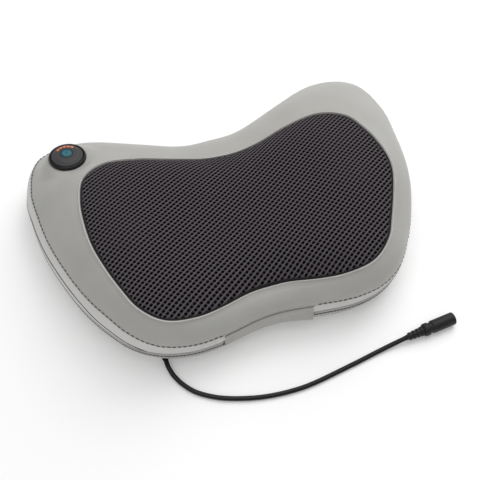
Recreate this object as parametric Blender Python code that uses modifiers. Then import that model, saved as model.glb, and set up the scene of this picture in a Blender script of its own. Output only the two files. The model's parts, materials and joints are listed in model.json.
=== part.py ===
"""Shiatsu neck massager: a padded bow-tie pillow, lying on its back.

Metres, +Z up. +X runs along the pillow, +Y points to the edge with the deep neck hollow and
+Z comes out of the massaging face. The origin is on the floor, under the middle of the pillow.
Tables of points are in millimetres and are turned into metres with MM.
"""
import math

import bmesh
import bpy
import numpy as np
from mathutils import Matrix, Vector

MM = 0.001
TAU = 2 * math.pi
GAP = 0.3 * MM

# Plan outlines, right-hand half, from the middle of the +Y edge to the middle of the -Y edge.
SEAM_HALF = [(0, 80.5), (40, 85.5), (73, 100), (115, 112), (150, 101), (164.5, 69), (164.6, 35),
             (161, 3.5), (152.5, -25), (129, -72), (114, -90.5), (93, -103), (69, -107.7),
             (47, -107), (0, -103)]
WINDOW_HALF = [(0, 41.5), (25, 43.8), (42, 47.8), (66, 53.4), (94, 53.6), (114, 41), (122.3, 19.5),
               (125, -3), (124.3, -25), (118.8, -46), (111.3, -65.5), (102, -84), (85.6, -97),
               (62, -99), (40, -95), (24, -90.5), (0, -87.6)]
PLAN_CENTRE = (0.0, -25.0)
RING_POINTS = 40

# Pillow heights: the face is a saddle, higher at its two ends.
SEAM_Z = 30 * MM
SEAM_RISE = 2 * MM
SEAM_RISE_AT = 150 * MM
WINDOW_Z = 55 * MM
WINDOW_RISE = 22 * MM
WINDOW_RISE_AT = 120 * MM
PANEL_CROWN = 17 * MM
FACE_CROWN = 6 * MM
FLOOR_INSET = 11 * MM

# Soft layers.
COVER = 2 * MM
MESH_SHEET = 1.4 * MM
LINING_SHEET = 0.7 * MM
ZIP_LOW = 16 * MM
ZIP_HIGH = 18.6 * MM
FOAM_LOW = 5 * MM
STRAP_WIDTH = 40 * MM
STRAP_THICKNESS = 1.3 * MM
STRAP_HALF_LENGTH = 128 * MM
FLAP_SPAN = (-42 * MM, 33 * MM)
FLAP_LOW = 14 * MM
FLAP_FLARE = 4.2 * MM

# Rigid tray and its front frame.
SHELL = 2 * MM
SHELL_FLOOR_Z = 2.4 * MM
SHELL_OUTSET = -3 * MM
SHELL_DROP = 7.6 * MM
FRONT_FRAME_WIDTH = 13 * MM

# Drive: one worm along Y between two gear trains, each tilted up about the worm's axis.
DRIVE_Y = -20 * MM
WORM_Z = 18.5 * MM
TILT = math.radians(13)
MODULE = 1.5 * MM
TOOTH_FILL = 0.82
PRESSURE = math.radians(20)
WORM_PITCH_RADIUS = 6.5 * MM
WHEEL_TEETH = 22
PINION_TEETH = 10
OUTPUT_TEETH = 40
WHEEL_U = WORM_PITCH_RADIUS + MODULE * WHEEL_TEETH / 2
OUTPUT_U = WHEEL_U + MODULE * (PINION_TEETH + OUTPUT_TEETH) / 2
WHEEL_HALF_WIDTH = 2.5 * MM
OUTPUT_GEAR_W = (3.4 * MM, 7.8 * MM)
CASE_W = (-5.3 * MM, 8.4 * MM)
CASE_WALL = 1.8 * MM
CASE_ENDS = ((WHEEL_U + 2.5 * MM, 22 * MM), (OUTPUT_U, 34.5 * MM))
LID_W = (8.7 * MM, 10.5 * MM)
LUG_U = 41 * MM
LUG_Y = 32.5 * MM
LUG_RADIUS = 4 * MM
CARRIER_W = (12.4 * MM, 15.4 * MM)
HEAD_ARM = 37 * MM
HEAD_BASE_W = 17 * MM
HEAD_HEIGHT = 17.5 * MM
HEAD_RADIUS = 15.5 * MM
SHAFT_RADIUS = 4 * MM
PIN_RADIUS = 2.5 * MM
AXLE_RADIUS = 2 * MM

# Motor behind the worm.
MOTOR_RADIUS = 12 * MM
MOTOR_Y = (19 * MM, 50 * MM)
MOTOR_SHAFT_RADIUS = 1.5 * MM
WORM_HALF_LENGTH = 10 * MM

# Power button on the left lobe.
BUTTON_ANGLE = math.radians(141.2)
BUTTON_ALONG = 0.58
BUTTON_LEAN = (0.19, -0.275, 0.0)
BUTTON_RISE = 2.2 * MM
BUTTON_TRAVEL = 1.5 * MM

# Cord: hand-set route on the floor, from the gland to the strain relief of the socket.
CORD_RADIUS = 2 * MM
CORD_ROUTE = [(-89.5, -102.1, 5.4), (-89.3, -107, 5.1), (-88.2, -112, 3.9), (-86.2, -117.2, 2.4),
              (-81.5, -125.5, 2.05), (-73.3, -134.7, 2.05), (-58.8, -143.7, 2.05),
              (-41, -150.2, 2.05), (-21, -154.6, 2.05), (0, -156.2, 2.05), (19.4, -155.2, 2.05),
              (52.6, -150, 2.05), (72, -146.6, 2.15), (88, -144.2, 3.4), (102.8, -142.6, 5.7)]
CORD_POINTS = 28
GLAND_Z = 5.4 * MM
GLAND_RADIUS = 2.7 * MM
SOCKET_RADIUS = 5.4 * MM

SIDES = ("left", "right")
ALONG_Y = Matrix.Rotation(-math.pi / 2, 4, "X")
DRIVE_FRAME = Matrix.Translation((0, DRIVE_Y, WORM_Z))

MODEL = None
CUTTERS = None


# ---------------------------------------------------------------- scene helpers

def start_scene():
    """Remove what is in the scene and make the two collections."""
    global MODEL, CUTTERS
    for obj in list(bpy.data.objects):
        bpy.data.objects.remove(obj, do_unlink=True)
    MODEL = bpy.data.collections.new("shiatsu_neck_massager")
    CUTTERS = bpy.data.collections.new("cutters")
    bpy.context.scene.collection.children.link(MODEL)
    bpy.context.scene.collection.children.link(CUTTERS)


def material(name, colour, roughness, metallic=0.0):
    """The named Principled material, made once."""
    if name in bpy.data.materials:
        return bpy.data.materials[name]
    mat = bpy.data.materials.new(name)
    mat.use_nodes = True
    shader = mat.node_tree.nodes["Principled BSDF"]
    shader.inputs["Base Color"].default_value = (*colour, 1.0)
    shader.inputs["Roughness"].default_value = roughness
    shader.inputs["Metallic"].default_value = metallic
    return mat


def grey_pu():
    return material("grey_pu", (0.35, 0.34, 0.32), 0.55)


def black_mesh():
    return material("black_mesh", (0.035, 0.03, 0.035), 0.8)


def grey_fabric():
    return material("grey_fabric", (0.3, 0.29, 0.28), 0.85)


def foam():
    return material("foam", (0.75, 0.74, 0.7), 0.9)


def abs_plastic():
    return material("abs_plastic", (0.05, 0.05, 0.055), 0.5)


def gear_plastic():
    return material("gear_plastic", (0.8, 0.79, 0.74), 0.4)


def steel():
    return material("steel", (0.6, 0.6, 0.62), 0.3, 1.0)


def brass():
    return material("brass", (0.75, 0.55, 0.25), 0.3, 1.0)


def black_rubber():
    return material("black_rubber", (0.015, 0.015, 0.016), 0.5)


def head_plastic():
    return material("head_plastic", (0.1, 0.1, 0.11), 0.45)


def add_object(name, mesh, mat, frame=None, collection=None):
    """Link a mesh or curve as an object standing in the given frame."""
    obj = bpy.data.objects.new(name, mesh)
    obj.matrix_world = frame if frame is not None else Matrix.Identity(4)
    if mat is not None:
        mesh.materials.append(mat)
    (collection or MODEL).objects.link(obj)
    if collection is CUTTERS:
        obj.hide_render = True
        obj.display_type = "WIRE"
    return obj


def finish_bmesh(bm, name):
    """Turn a bmesh into a mesh with its faces pointing out."""
    bmesh.ops.recalc_face_normals(bm, faces=bm.faces)
    mesh = bpy.data.meshes.new(name)
    bm.to_mesh(mesh)
    bm.free()
    return mesh


def smooth(obj, angle=math.radians(35)):
    obj.data.shade_smooth()
    obj.data.set_sharp_from_angle(angle=angle)
    return obj


def boolean(obj, other, operation="DIFFERENCE"):
    """Cut, or join, with an object of the cutters collection."""
    mod = obj.modifiers.new(other.name, "BOOLEAN")
    mod.operation = operation
    mod.solver = "EXACT"
    mod.object = other
    return obj


def cylinder(name, radius, low, high, mat=None, frame=None, sides=16, collection=None):
    """A round bar along the frame's Z, from low to high."""
    bm = bmesh.new()
    place = Matrix.Translation((0, 0, (low + high) / 2))
    bmesh.ops.create_cone(bm, cap_ends=True, segments=sides, radius1=radius, radius2=radius,
                          depth=high - low, matrix=place)
    return smooth(add_object(name, finish_bmesh(bm, name), mat, frame, collection))


def box(name, low, high, mat=None, frame=None, collection=None, bevel=0.0):
    """A block between two corners, with its edges rounded if bevel is set."""
    bm = bmesh.new()
    size = Vector(high) - Vector(low)
    centre = (Vector(high) + Vector(low)) / 2
    place = Matrix.Translation(centre) @ Matrix.Diagonal((*size, 1.0))
    bmesh.ops.create_cube(bm, size=1.0, matrix=place)
    obj = add_object(name, finish_bmesh(bm, name), mat, frame, collection)
    if bevel:
        mod = obj.modifiers.new("rounding", "BEVEL")
        mod.width = bevel
        mod.segments = 2
    return obj


def turned(name, profile_mm, mat, frame=None, steps=20, ring=False, collection=None):
    """A turned piece. The profile (radius, height) runs down its outer side; ring closes it."""
    points = [(r * MM, 0.0, z * MM) for r, z in profile_mm]
    edges = [(i, i + 1) for i in range(len(points) - 1)]
    if ring:
        edges.append((len(points) - 1, 0))
    mesh = bpy.data.meshes.new(name)
    mesh.from_pydata(points, edges, [])
    obj = add_object(name, mesh, mat, frame, collection)
    screw = obj.modifiers.new("turn", "SCREW")
    screw.axis = "Z"
    screw.angle = TAU
    screw.steps = steps
    screw.render_steps = steps
    screw.use_smooth_shade = True
    screw.use_merge_vertices = True
    screw.merge_threshold = 0.00001
    return obj


def flat_plate(name, outlines, low, high, mat=None, frame=None):
    """A plate between two heights. The first outline is its edge, the others are holes."""
    curve = bpy.data.curves.new(name, "CURVE")
    curve.dimensions = "2D"
    curve.fill_mode = "BOTH"
    curve.extrude = (high - low) / 2
    for outline in outlines:
        spline = curve.splines.new("POLY")
        spline.points.add(len(outline) - 1)
        for point, (x, y) in zip(spline.points, outline):
            point.co = (x, y, 0.0, 1.0)
        spline.use_cyclic_u = True
    place = (frame or Matrix.Identity(4)) @ Matrix.Translation((0, 0, (low + high) / 2))
    return add_object(name, curve, mat, place)


def to_mesh(obj, collection=None):
    """Replace a curve object with the mesh that it shows, its caps welded."""
    graph = bpy.context.evaluated_depsgraph_get()
    graph.update()
    mesh = bpy.data.meshes.new_from_object(obj.evaluated_get(graph))
    bm = bmesh.new()
    bm.from_mesh(mesh)
    bmesh.ops.remove_doubles(bm, verts=bm.verts, dist=0.00001)
    bmesh.ops.recalc_face_normals(bm, faces=bm.faces)
    bm.to_mesh(mesh)
    bm.free()
    name = obj.name
    frame = obj.matrix_world.copy()
    bpy.data.objects.remove(obj, do_unlink=True)
    return add_object(name, mesh, None, frame, collection)


def tube(name, points, radius, mat, resolution=2):
    """A round wire through a list of close points."""
    curve = bpy.data.curves.new(name, "CURVE")
    curve.dimensions = "3D"
    curve.bevel_depth = radius
    curve.bevel_resolution = resolution
    curve.use_fill_caps = True
    spline = curve.splines.new("POLY")
    spline.points.add(len(points) - 1)
    for target, point in zip(spline.points, points):
        target.co = (*point, 1.0)
    return add_object(name, curve, mat)


def circle(radius, centre=(0.0, 0.0), sides=16):
    return [(centre[0] + radius * math.cos(TAU * i / sides),
             centre[1] + radius * math.sin(TAU * i / sides)) for i in range(sides)]


def two_circle_hull(u_a, radius_a, u_b, radius_b, sides=10):
    """Outline round two circles on the X axis, u_b beyond u_a."""
    lean = math.asin((radius_b - radius_a) / (u_b - u_a))
    start = math.pi / 2 + lean
    back = [start + (TAU - 2 * start) * i / sides for i in range(sides + 1)]
    front = [-start + 2 * start * i / sides for i in range(sides + 1)]
    return ([(u_a + radius_a * math.cos(a), radius_a * math.sin(a)) for a in back]
            + [(u_b + radius_b * math.cos(a), radius_b * math.sin(a)) for a in front])


def smooth_path(points_mm, count):
    """Evenly spaced points on the Catmull-Rom curve through the given ones."""
    keys = [np.array(p, dtype=float) * MM for p in points_mm]
    keys = [2 * keys[0] - keys[1]] + keys + [2 * keys[-1] - keys[-2]]
    dense = []
    for p0, p1, p2, p3 in zip(keys, keys[1:], keys[2:], keys[3:]):
        for t in np.linspace(0, 1, 24, endpoint=False):
            dense.append(0.5 * (2 * p1 + (p2 - p0) * t + (2 * p0 - 5 * p1 + 4 * p2 - p3) * t ** 2
                                + (3 * p1 - p0 - 3 * p2 + p3) * t ** 3))
    dense = np.array(dense + [keys[-2]])
    length = np.concatenate([[0.0], np.cumsum(np.linalg.norm(np.diff(dense, axis=0), axis=1))])
    wanted = np.linspace(0, length[-1], count)
    return [tuple(np.interp(wanted, length, dense[:, k])[i] for k in range(3))
            for i in range(count)]


# ---------------------------------------------------------------- the pillow's surface

def polar_knots(half_mm):
    """Angles and radii about the plan centre of a half outline and its mirror image."""
    left = [(-x, y) for x, y in half_mm if x > 0]
    points = np.array(half_mm + left, dtype=float) - np.array(PLAN_CENTRE)
    angles = np.mod(np.arctan2(points[:, 1], points[:, 0]), TAU)
    order = np.argsort(angles)
    return angles[order], np.hypot(points[:, 0], points[:, 1])[order] * MM


def radius_at(theta, knots):
    """Radius at an angle on the smooth closed curve through the knots."""
    angles, radii = knots
    angles = np.concatenate([angles[-2:] - TAU, angles, angles[:2] + TAU])
    radii = np.concatenate([radii[-2:], radii, radii[:2]])
    step = np.diff(angles)
    slope = np.diff(radii) / step
    tangent = np.zeros_like(radii)
    tangent[1:-1] = (slope[:-1] * step[1:] + slope[1:] * step[:-1]) / (step[1:] + step[:-1])
    theta = np.mod(theta, TAU)
    i = np.clip(np.searchsorted(angles, theta, side="right") - 1, 1, len(angles) - 3)
    h = step[i]
    t = (theta - angles[i]) / h
    return ((1 + 2 * t) * (1 - t) ** 2 * radii[i] + t * (1 - t) ** 2 * h * tangent[i]
            + t ** 2 * (3 - 2 * t) * radii[i + 1] + t ** 2 * (t - 1) * h * tangent[i + 1])


SEAM = polar_knots(SEAM_HALF)
WINDOW = polar_knots(WINDOW_HALF)


def ring_angles():
    """Angles that step evenly along the seam, the same on both sides."""
    dense = np.linspace(-math.pi / 2, math.pi / 2, 2001)
    radius = radius_at(dense, SEAM)
    steps = np.hypot(np.diff(radius * np.cos(dense)), np.diff(radius * np.sin(dense)))
    length = np.concatenate([[0.0], np.cumsum(steps)])
    right = np.interp(np.linspace(0, length[-1], RING_POINTS // 2 + 1), length, dense)
    return np.concatenate([right, math.pi - right[-2:0:-1]])


THETA = ring_angles()


def seam_height(x):
    return SEAM_Z + SEAM_RISE * (x / SEAM_RISE_AT) ** 2


def window_height(x):
    return WINDOW_Z + WINDOW_RISE * (x / WINDOW_RISE_AT) ** 2


def plan_points(theta, radius, height):
    """World points from plan angles, radii and heights."""
    x = radius * np.cos(theta)
    y = PLAN_CENTRE[1] * MM + radius * np.sin(theta)
    return np.stack([x, y, np.broadcast_to(height, x.shape)], axis=-1)


def face_points(theta, along, depth=0.0):
    """Points on the padded face, from the seam (along 0) to the window (along 1)."""
    r_seam = radius_at(theta, SEAM)
    r_window = radius_at(theta, WINDOW)
    z_seam = seam_height(r_seam * np.cos(theta))
    z_window = window_height(r_window * np.cos(theta))
    run = r_seam - r_window
    rise = z_window - z_seam
    slant = np.hypot(run, rise)
    out = FACE_CROWN * math.sin(math.pi * along) - depth
    radius = r_seam - run * along + out * rise / slant
    return plan_points(theta, radius, z_seam + rise * along + out * run / slant)


def side_points(theta, share, depth=0.0, height=None):
    """Points on the side below the seam. share 0 is the floor and 1 is the seam."""
    r_seam = radius_at(theta, SEAM)
    z_seam = seam_height(r_seam * np.cos(theta))
    z = z_seam * share if height is None else np.full_like(z_seam, height)
    inset = FLOOR_INSET * (1 - np.sqrt(np.clip(1 - (1 - z / z_seam) ** 2, 0, 1)))
    return plan_points(theta, r_seam - inset - depth, z)


def window_points(theta, outset, drop):
    """Points round the window, moved out and down."""
    r_window = radius_at(theta, WINDOW)
    z = window_height(r_window * np.cos(theta)) - drop
    return plan_points(theta, r_window + outset, z)


def panel_points(theta, share, depth, edge_inset):
    """Points on the crowned panel in the window. share runs from 0, its centre, to 1."""
    radius = (radius_at(theta, WINDOW) - edge_inset) * share
    z = window_height(radius * np.cos(theta)) + PANEL_CROWN * (1 - share ** 4) - depth
    return plan_points(theta, radius, z)


def loft(name, rings, mat, loop=False, collection=None):
    """Skin over matching rings. Open ends get a fan; loop joins the last ring to the first."""
    bm = bmesh.new()
    rows = [[bm.verts.new(point) for point in ring] for ring in rings]
    count = len(rows[0])
    following = rows[1:] + rows[:1] if loop else rows[1:]
    for low, high in zip(rows, following):
        for i in range(count):
            j = (i + 1) % count
            bm.faces.new((low[i], low[j], high[j], high[i]))
    if not loop:
        for row, ring in ((rows[0], rings[0]), (rows[-1], rings[-1])):
            centre = np.mean(ring, axis=0)
            centre[:2] = (0.0, PLAN_CENTRE[1] * MM)
            hub = bm.verts.new(centre)
            for i in range(count):
                bm.faces.new((row[i], row[(i + 1) % count], hub))
    return smooth(add_object(name, finish_bmesh(bm, name), mat, None, collection))


# ---------------------------------------------------------------- soft parts

def back_cover():
    """Rear cover: a pan from the zip down and across the back, with a shallow strap channel."""
    top = ZIP_LOW - GAP / 2
    rings = [side_points(THETA, 0.0),
             side_points(THETA, 0.14),
             side_points(THETA, 0.0, height=top),
             side_points(THETA, 0.0, COVER, top),
             side_points(THETA, 0.14, COVER),
             plan_points(THETA, floor_radius() - COVER, COVER)]
    obj = loft("back_cover", rings, grey_fabric())
    half = STRAP_WIDTH / 2 + GAP
    reach = STRAP_HALF_LENGTH + GAP
    middle = PLAN_CENTRE[1] * MM
    channel = box("strap_channel", (-reach, middle - half, -1 * MM),
                  (reach, middle + half, STRAP_THICKNESS + GAP), collection=CUTTERS)
    boolean(obj, channel)
    boolean(obj, gland_bar("gland_hole_cutter", GLAND_RADIUS + GAP, -20 * MM, 8 * MM))
    return obj


def floor_radius():
    """Radius of the flat back."""
    return radius_at(THETA, SEAM) - FLOOR_INSET


def back_strap():
    """Elastic strap sewn across the back, flush with it."""
    middle = PLAN_CENTRE[1] * MM
    half = STRAP_WIDTH / 2
    return box("back_strap", (-STRAP_HALF_LENGTH, middle - half, 0.0),
               (STRAP_HALF_LENGTH, middle + half, STRAP_THICKNESS), black_mesh())


def zip_chain():
    rings = [side_points(THETA, 0, -0.2 * MM, ZIP_LOW + GAP / 2),
             side_points(THETA, 0, -0.2 * MM, ZIP_HIGH),
             side_points(THETA, 0, 1.6 * MM, ZIP_HIGH),
             side_points(THETA, 0, 1.6 * MM, ZIP_LOW + GAP / 2)]
    return loft("zip_chain", rings, black_mesh(), loop=True)


def gusset():
    low = ZIP_HIGH + GAP
    high = SEAM_Z - COVER - 2 * GAP
    rings = [side_points(THETA, 0, 0, low),
             side_points(THETA, 0, 0, high),
             side_points(THETA, 0, COVER, high),
             side_points(THETA, 0, COVER, low)]
    return loft("side_gusset", rings, grey_fabric(), loop=True)


def front_cover():
    """Grey frame of the face, from the seam up to the window, with a hole for the button."""
    steps = (0.0, 0.2, 0.5, 0.8, 1.0)
    outer = [face_points(THETA, s) for s in steps]
    inner = [face_points(THETA, s, COVER) for s in reversed(steps)]
    obj = loft("front_cover", outer + inner, grey_pu(), loop=True)
    hole = cylinder("button_hole_cutter", 14.9 * MM, -15 * MM, 12 * MM, frame=BUTTON_FRAME,
                    collection=CUTTERS)
    seat = cylinder("button_seat_cutter", 16.2 * MM, 0.4 * MM, 12 * MM, frame=BUTTON_FRAME,
                    collection=CUTTERS)
    return boolean(boolean(obj, hole), seat)


def foam_surround():
    """Foam ring between the tray and the cover, with a pocket for the button and one for the lead."""
    skin = COVER + 2.2 * MM
    rings = [face_points(THETA, 0.94, skin),
             face_points(THETA, 0.5, skin),
             face_points(THETA, 0.08, skin),
             side_points(THETA, 0, skin, ZIP_HIGH),
             side_points(THETA, 0, skin + 1 * MM, FOAM_LOW),
             plan_points(THETA, window_radius(SHELL_OUTSET + 0.5 * MM), FOAM_LOW),
             window_points(THETA, SHELL_OUTSET + 0.5 * MM, SHELL_DROP)]
    obj = loft("foam_surround", rings, foam(), loop=True)
    pocket = cylinder("button_pocket_cutter", 16.2 * MM, -14 * MM, 12 * MM, frame=BUTTON_FRAME,
                      collection=CUTTERS)
    boolean(obj, pocket)
    groove = box("lead_groove_cutter", (-96 * MM, -112 * MM, 0.0), (-83 * MM, -70 * MM, 14 * MM),
                 collection=CUTTERS)
    return boolean(obj, groove)


def sheet_in_window(name, mat, top, thickness, edge_inset):
    """A crowned sheet that fills the window."""
    shares = (0.5, 0.8, 1.0)
    upper = [panel_points(THETA, s, top, edge_inset) for s in shares]
    lower = [panel_points(THETA, s, top + thickness, edge_inset) for s in reversed(shares)]
    return loft(name, upper + lower, mat)


def bottom_flap():
    """Leather tab that hangs over the gusset in the -Y waist, its right end standing out."""
    count = 9
    start, end = FLAP_SPAN
    rows = []
    for i in range(count):
        share = i / (count - 1)
        x = start + (end - start) * share
        theta = flap_angle(x)
        inner = []
        for height, flare in ((SEAM_Z - 1.5 * MM, 0.0), (ZIP_HIGH, 0.5), (FLAP_LOW, 1.0)):
            out = 0.7 * MM + flare * FLAP_FLARE * share ** 3
            inner.append(side_points(theta, 0, 0, height) + (0.0, -out, 0.0))
        outer = [point + (0.0, -1.4 * MM, 0.0) for point in reversed(inner)]
        rows.append(inner + outer)
    bm = bmesh.new()
    verts = [[bm.verts.new(point) for point in row] for row in rows]
    for low, high in zip(verts, verts[1:]):
        for i in range(6):
            bm.faces.new((low[i], low[(i + 1) % 6], high[(i + 1) % 6], high[i]))
    bm.faces.new(verts[0])
    bm.faces.new(verts[-1])
    return smooth(add_object("bottom_flap", finish_bmesh(bm, "bottom_flap"), grey_pu()))


def flap_angle(x):
    """Plan angle of the seam point with this x, on the -Y edge."""
    angles = np.linspace(math.pi * 1.25, math.pi * 1.75, 801)
    across = radius_at(angles, SEAM) * np.cos(angles)
    return np.array(np.interp(x, across, angles))


def zip_slider():
    """Slider on the zip in the middle of the +Y edge, and its pull."""
    wall = side_points(np.array(math.pi / 2), 0, 0, ZIP_HIGH)[1]
    middle = (ZIP_LOW + ZIP_HIGH) / 2
    box("zip_slider", (-4.5 * MM, wall + 0.5 * MM, middle - 3 * MM),
        (4.5 * MM, wall + 2.8 * MM, middle + 3 * MM), steel(), bevel=0.8 * MM)
    hinge = Matrix.Translation((0, wall + 4.2 * MM, middle - 2 * MM))
    box("zip_pull", (-3 * MM, -0.7 * MM, -13 * MM), (3 * MM, 0.7 * MM, 1 * MM), steel(), hinge,
        bevel=0.4 * MM)


# ---------------------------------------------------------------- tray and frame

def rear_shell():
    """Rigid tray: floor and walls up to the window, with posts for the gear cases."""
    floor_top = SHELL_FLOOR_Z + SHELL
    outer = SHELL_OUTSET
    rings = [plan_points(THETA, window_radius(outer - 2 * MM), SHELL_FLOOR_Z),
             plan_points(THETA, window_radius(outer), floor_top),
             window_points(THETA, outer, SHELL_DROP),
             window_points(THETA, outer - SHELL, SHELL_DROP),
             plan_points(THETA, window_radius(outer - SHELL), floor_top + 1 * MM),
             plan_points(THETA, window_radius(outer - SHELL - 1 * MM), floor_top)]
    obj = loft("rear_shell", rings, abs_plastic())
    for side in SIDES:
        frame = side_frame(side)
        for u, v in ((OUTPUT_U + 12 * MM, -14 * MM), (OUTPUT_U + 12 * MM, 14 * MM), (WHEEL_U, 0)):
            foot = (frame @ Vector((u, v, 0))).z - SHELL_FLOOR_Z - SHELL / 2
            post = cylinder(f"post_{side}_{u:.3f}_{v:.3f}", 4 * MM, -foot / math.cos(TILT),
                            CASE_W[0] - GAP, frame=frame @ Matrix.Translation((u, v, 0)),
                            sides=10, collection=CUTTERS)
            boolean(obj, post, "UNION")
    boolean(obj, gland_bar("lead_hole_cutter", 3 * MM, -2 * MM, 30 * MM))
    return obj


def window_radius(outset):
    return radius_at(THETA, WINDOW) + outset


def front_shell():
    """Rigid frame under the edge of the window."""
    drop = SHELL_DROP - SHELL - GAP
    width = FRONT_FRAME_WIDTH
    rings = [window_points(THETA, SHELL_OUTSET - 0.4 * MM, drop),
             window_points(THETA, -width, drop),
             window_points(THETA, -width, drop + SHELL),
             window_points(THETA, SHELL_OUTSET - 0.4 * MM, drop + SHELL)]
    return loft("front_shell", rings, abs_plastic(), loop=True)


# ---------------------------------------------------------------- gear trains

def side_frame(side):
    """Frame of one gear train: X out along the train, Z along its shafts, origin on the worm."""
    if side == "right":
        return DRIVE_FRAME @ Matrix.Rotation(-TILT, 4, "Y")
    return DRIVE_FRAME @ Matrix.Rotation(TILT, 4, "Y") @ Matrix.Rotation(math.pi, 4, "Z")


def involute(angle):
    return math.tan(angle) - angle


def gear_outline(teeth, phase, flank_radii=2):
    """Gear outline with a tooth centred at the phase angle."""
    pitch = MODULE * teeth / 2
    base = pitch * math.cos(PRESSURE)
    tip = pitch + 0.95 * MODULE
    root = pitch - 1.25 * MODULE
    half = TOOTH_FILL * math.pi / (2 * teeth) + involute(PRESSURE)
    levels = [root, tip] if flank_radii == 2 else [root, pitch, tip]

    def half_angle(radius):
        return half - (involute(math.acos(base / radius)) if radius > base else 0.0)

    points = []
    for tooth in range(teeth):
        centre = phase + TAU * tooth / teeth
        rising = [(r, centre - half_angle(r)) for r in levels]
        falling = [(r, centre + half_angle(r)) for r in reversed(levels)]
        points += [(r * math.cos(a), r * math.sin(a)) for r, a in rising + falling]
    return points


def reduction_gear(side):
    """Worm wheel with its pinion on top, running on a fixed axle."""
    frame = side_frame(side) @ Matrix.Translation((WHEEL_U, 0, 0))
    half_pitch = math.pi / WHEEL_TEETH
    phase = math.pi - TILT / WHEEL_TEETH + (half_pitch if side == "right" else 0.0)
    bore = [circle(AXLE_RADIUS + GAP, sides=12)]
    wheel = flat_plate(f"reduction_gear_{side}", [gear_outline(WHEEL_TEETH, phase)] + bore,
                       -WHEEL_HALF_WIDTH, WHEEL_HALF_WIDTH, gear_plastic(), frame)
    pinion = flat_plate(f"pinion_{side}", [gear_outline(PINION_TEETH, 0.0, 3)] + bore,
                        WHEEL_HALF_WIDTH - 1 * MM, CASE_W[1] - 0.4 * MM, gear_plastic(), frame)
    wheel = to_mesh(wheel)
    pinion = to_mesh(pinion, CUTTERS)
    boolean(wheel, pinion, "UNION")
    cylinder(f"reduction_axle_{side}", AXLE_RADIUS, CASE_W[0] + CASE_WALL + GAP, CASE_W[1],
             steel(), frame, sides=12)


def output_train(side):
    """Output gear, its shaft, the carrier and the nut that holds it."""
    frame = side_frame(side) @ Matrix.Translation((OUTPUT_U, 0, 0))
    bore = circle(SHAFT_RADIUS + GAP, sides=16)
    flat_plate(f"output_gear_{side}",
               [gear_outline(OUTPUT_TEETH, math.pi / OUTPUT_TEETH), bore],
               *OUTPUT_GEAR_W, gear_plastic(), frame)
    cylinder(f"output_shaft_{side}", SHAFT_RADIUS, CASE_W[0] + CASE_WALL + GAP,
             CARRIER_W[1] + 4.5 * MM, steel(), frame)
    arm_end = 11 * MM
    outline = two_circle_hull(-HEAD_ARM, arm_end, HEAD_ARM, arm_end + 0.01 * MM, 8)
    holes = [bore] + [circle(PIN_RADIUS + GAP, (x, 0), 12) for x in (-HEAD_ARM, HEAD_ARM)]
    flat_plate(f"carrier_{side}", [outline] + holes, *CARRIER_W, abs_plastic(), frame)
    flat_plate(f"carrier_nut_{side}", [circle(7.5 * MM, sides=6), bore],
               CARRIER_W[1] + GAP, CARRIER_W[1] + 3.8 * MM, steel(), frame)


def massage_heads(side):
    """Two domed heads, each free to turn on its own pin in the carrier."""
    for place, u in (("inner", -HEAD_ARM), ("outer", HEAD_ARM)):
        frame = side_frame(side) @ Matrix.Translation((OUTPUT_U + u, 0, 0))
        pin_low = CARRIER_W[0] / MM + 0.1
        shoulder = CARRIER_W[1] / MM + 0.3
        base = HEAD_BASE_W / MM
        pin = PIN_RADIUS / MM
        turned(f"head_pin_{side}_{place}",
               [(0, base + 10), (pin, base + 10), (pin, base - 0.3), (4.5, base - 0.3),
                (4.5, shoulder), (pin, shoulder), (pin, pin_low), (0, pin_low)],
               steel(), frame, steps=12)
        top = base + HEAD_HEIGHT / MM
        radius = HEAD_RADIUS / MM
        turned(f"massage_head_{side}_{place}",
               [(0, top), (radius * 0.42, top - 1.3), (radius * 0.74, top - 4.6),
                (radius * 0.95, top - 9), (radius, top - 13), (radius * 0.9, base + 1.5),
                (radius * 0.8, base), (pin + 0.5, base), (pin + 0.5, base + 11), (0, base + 11)],
               head_plastic(), frame, steps=16)


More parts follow.
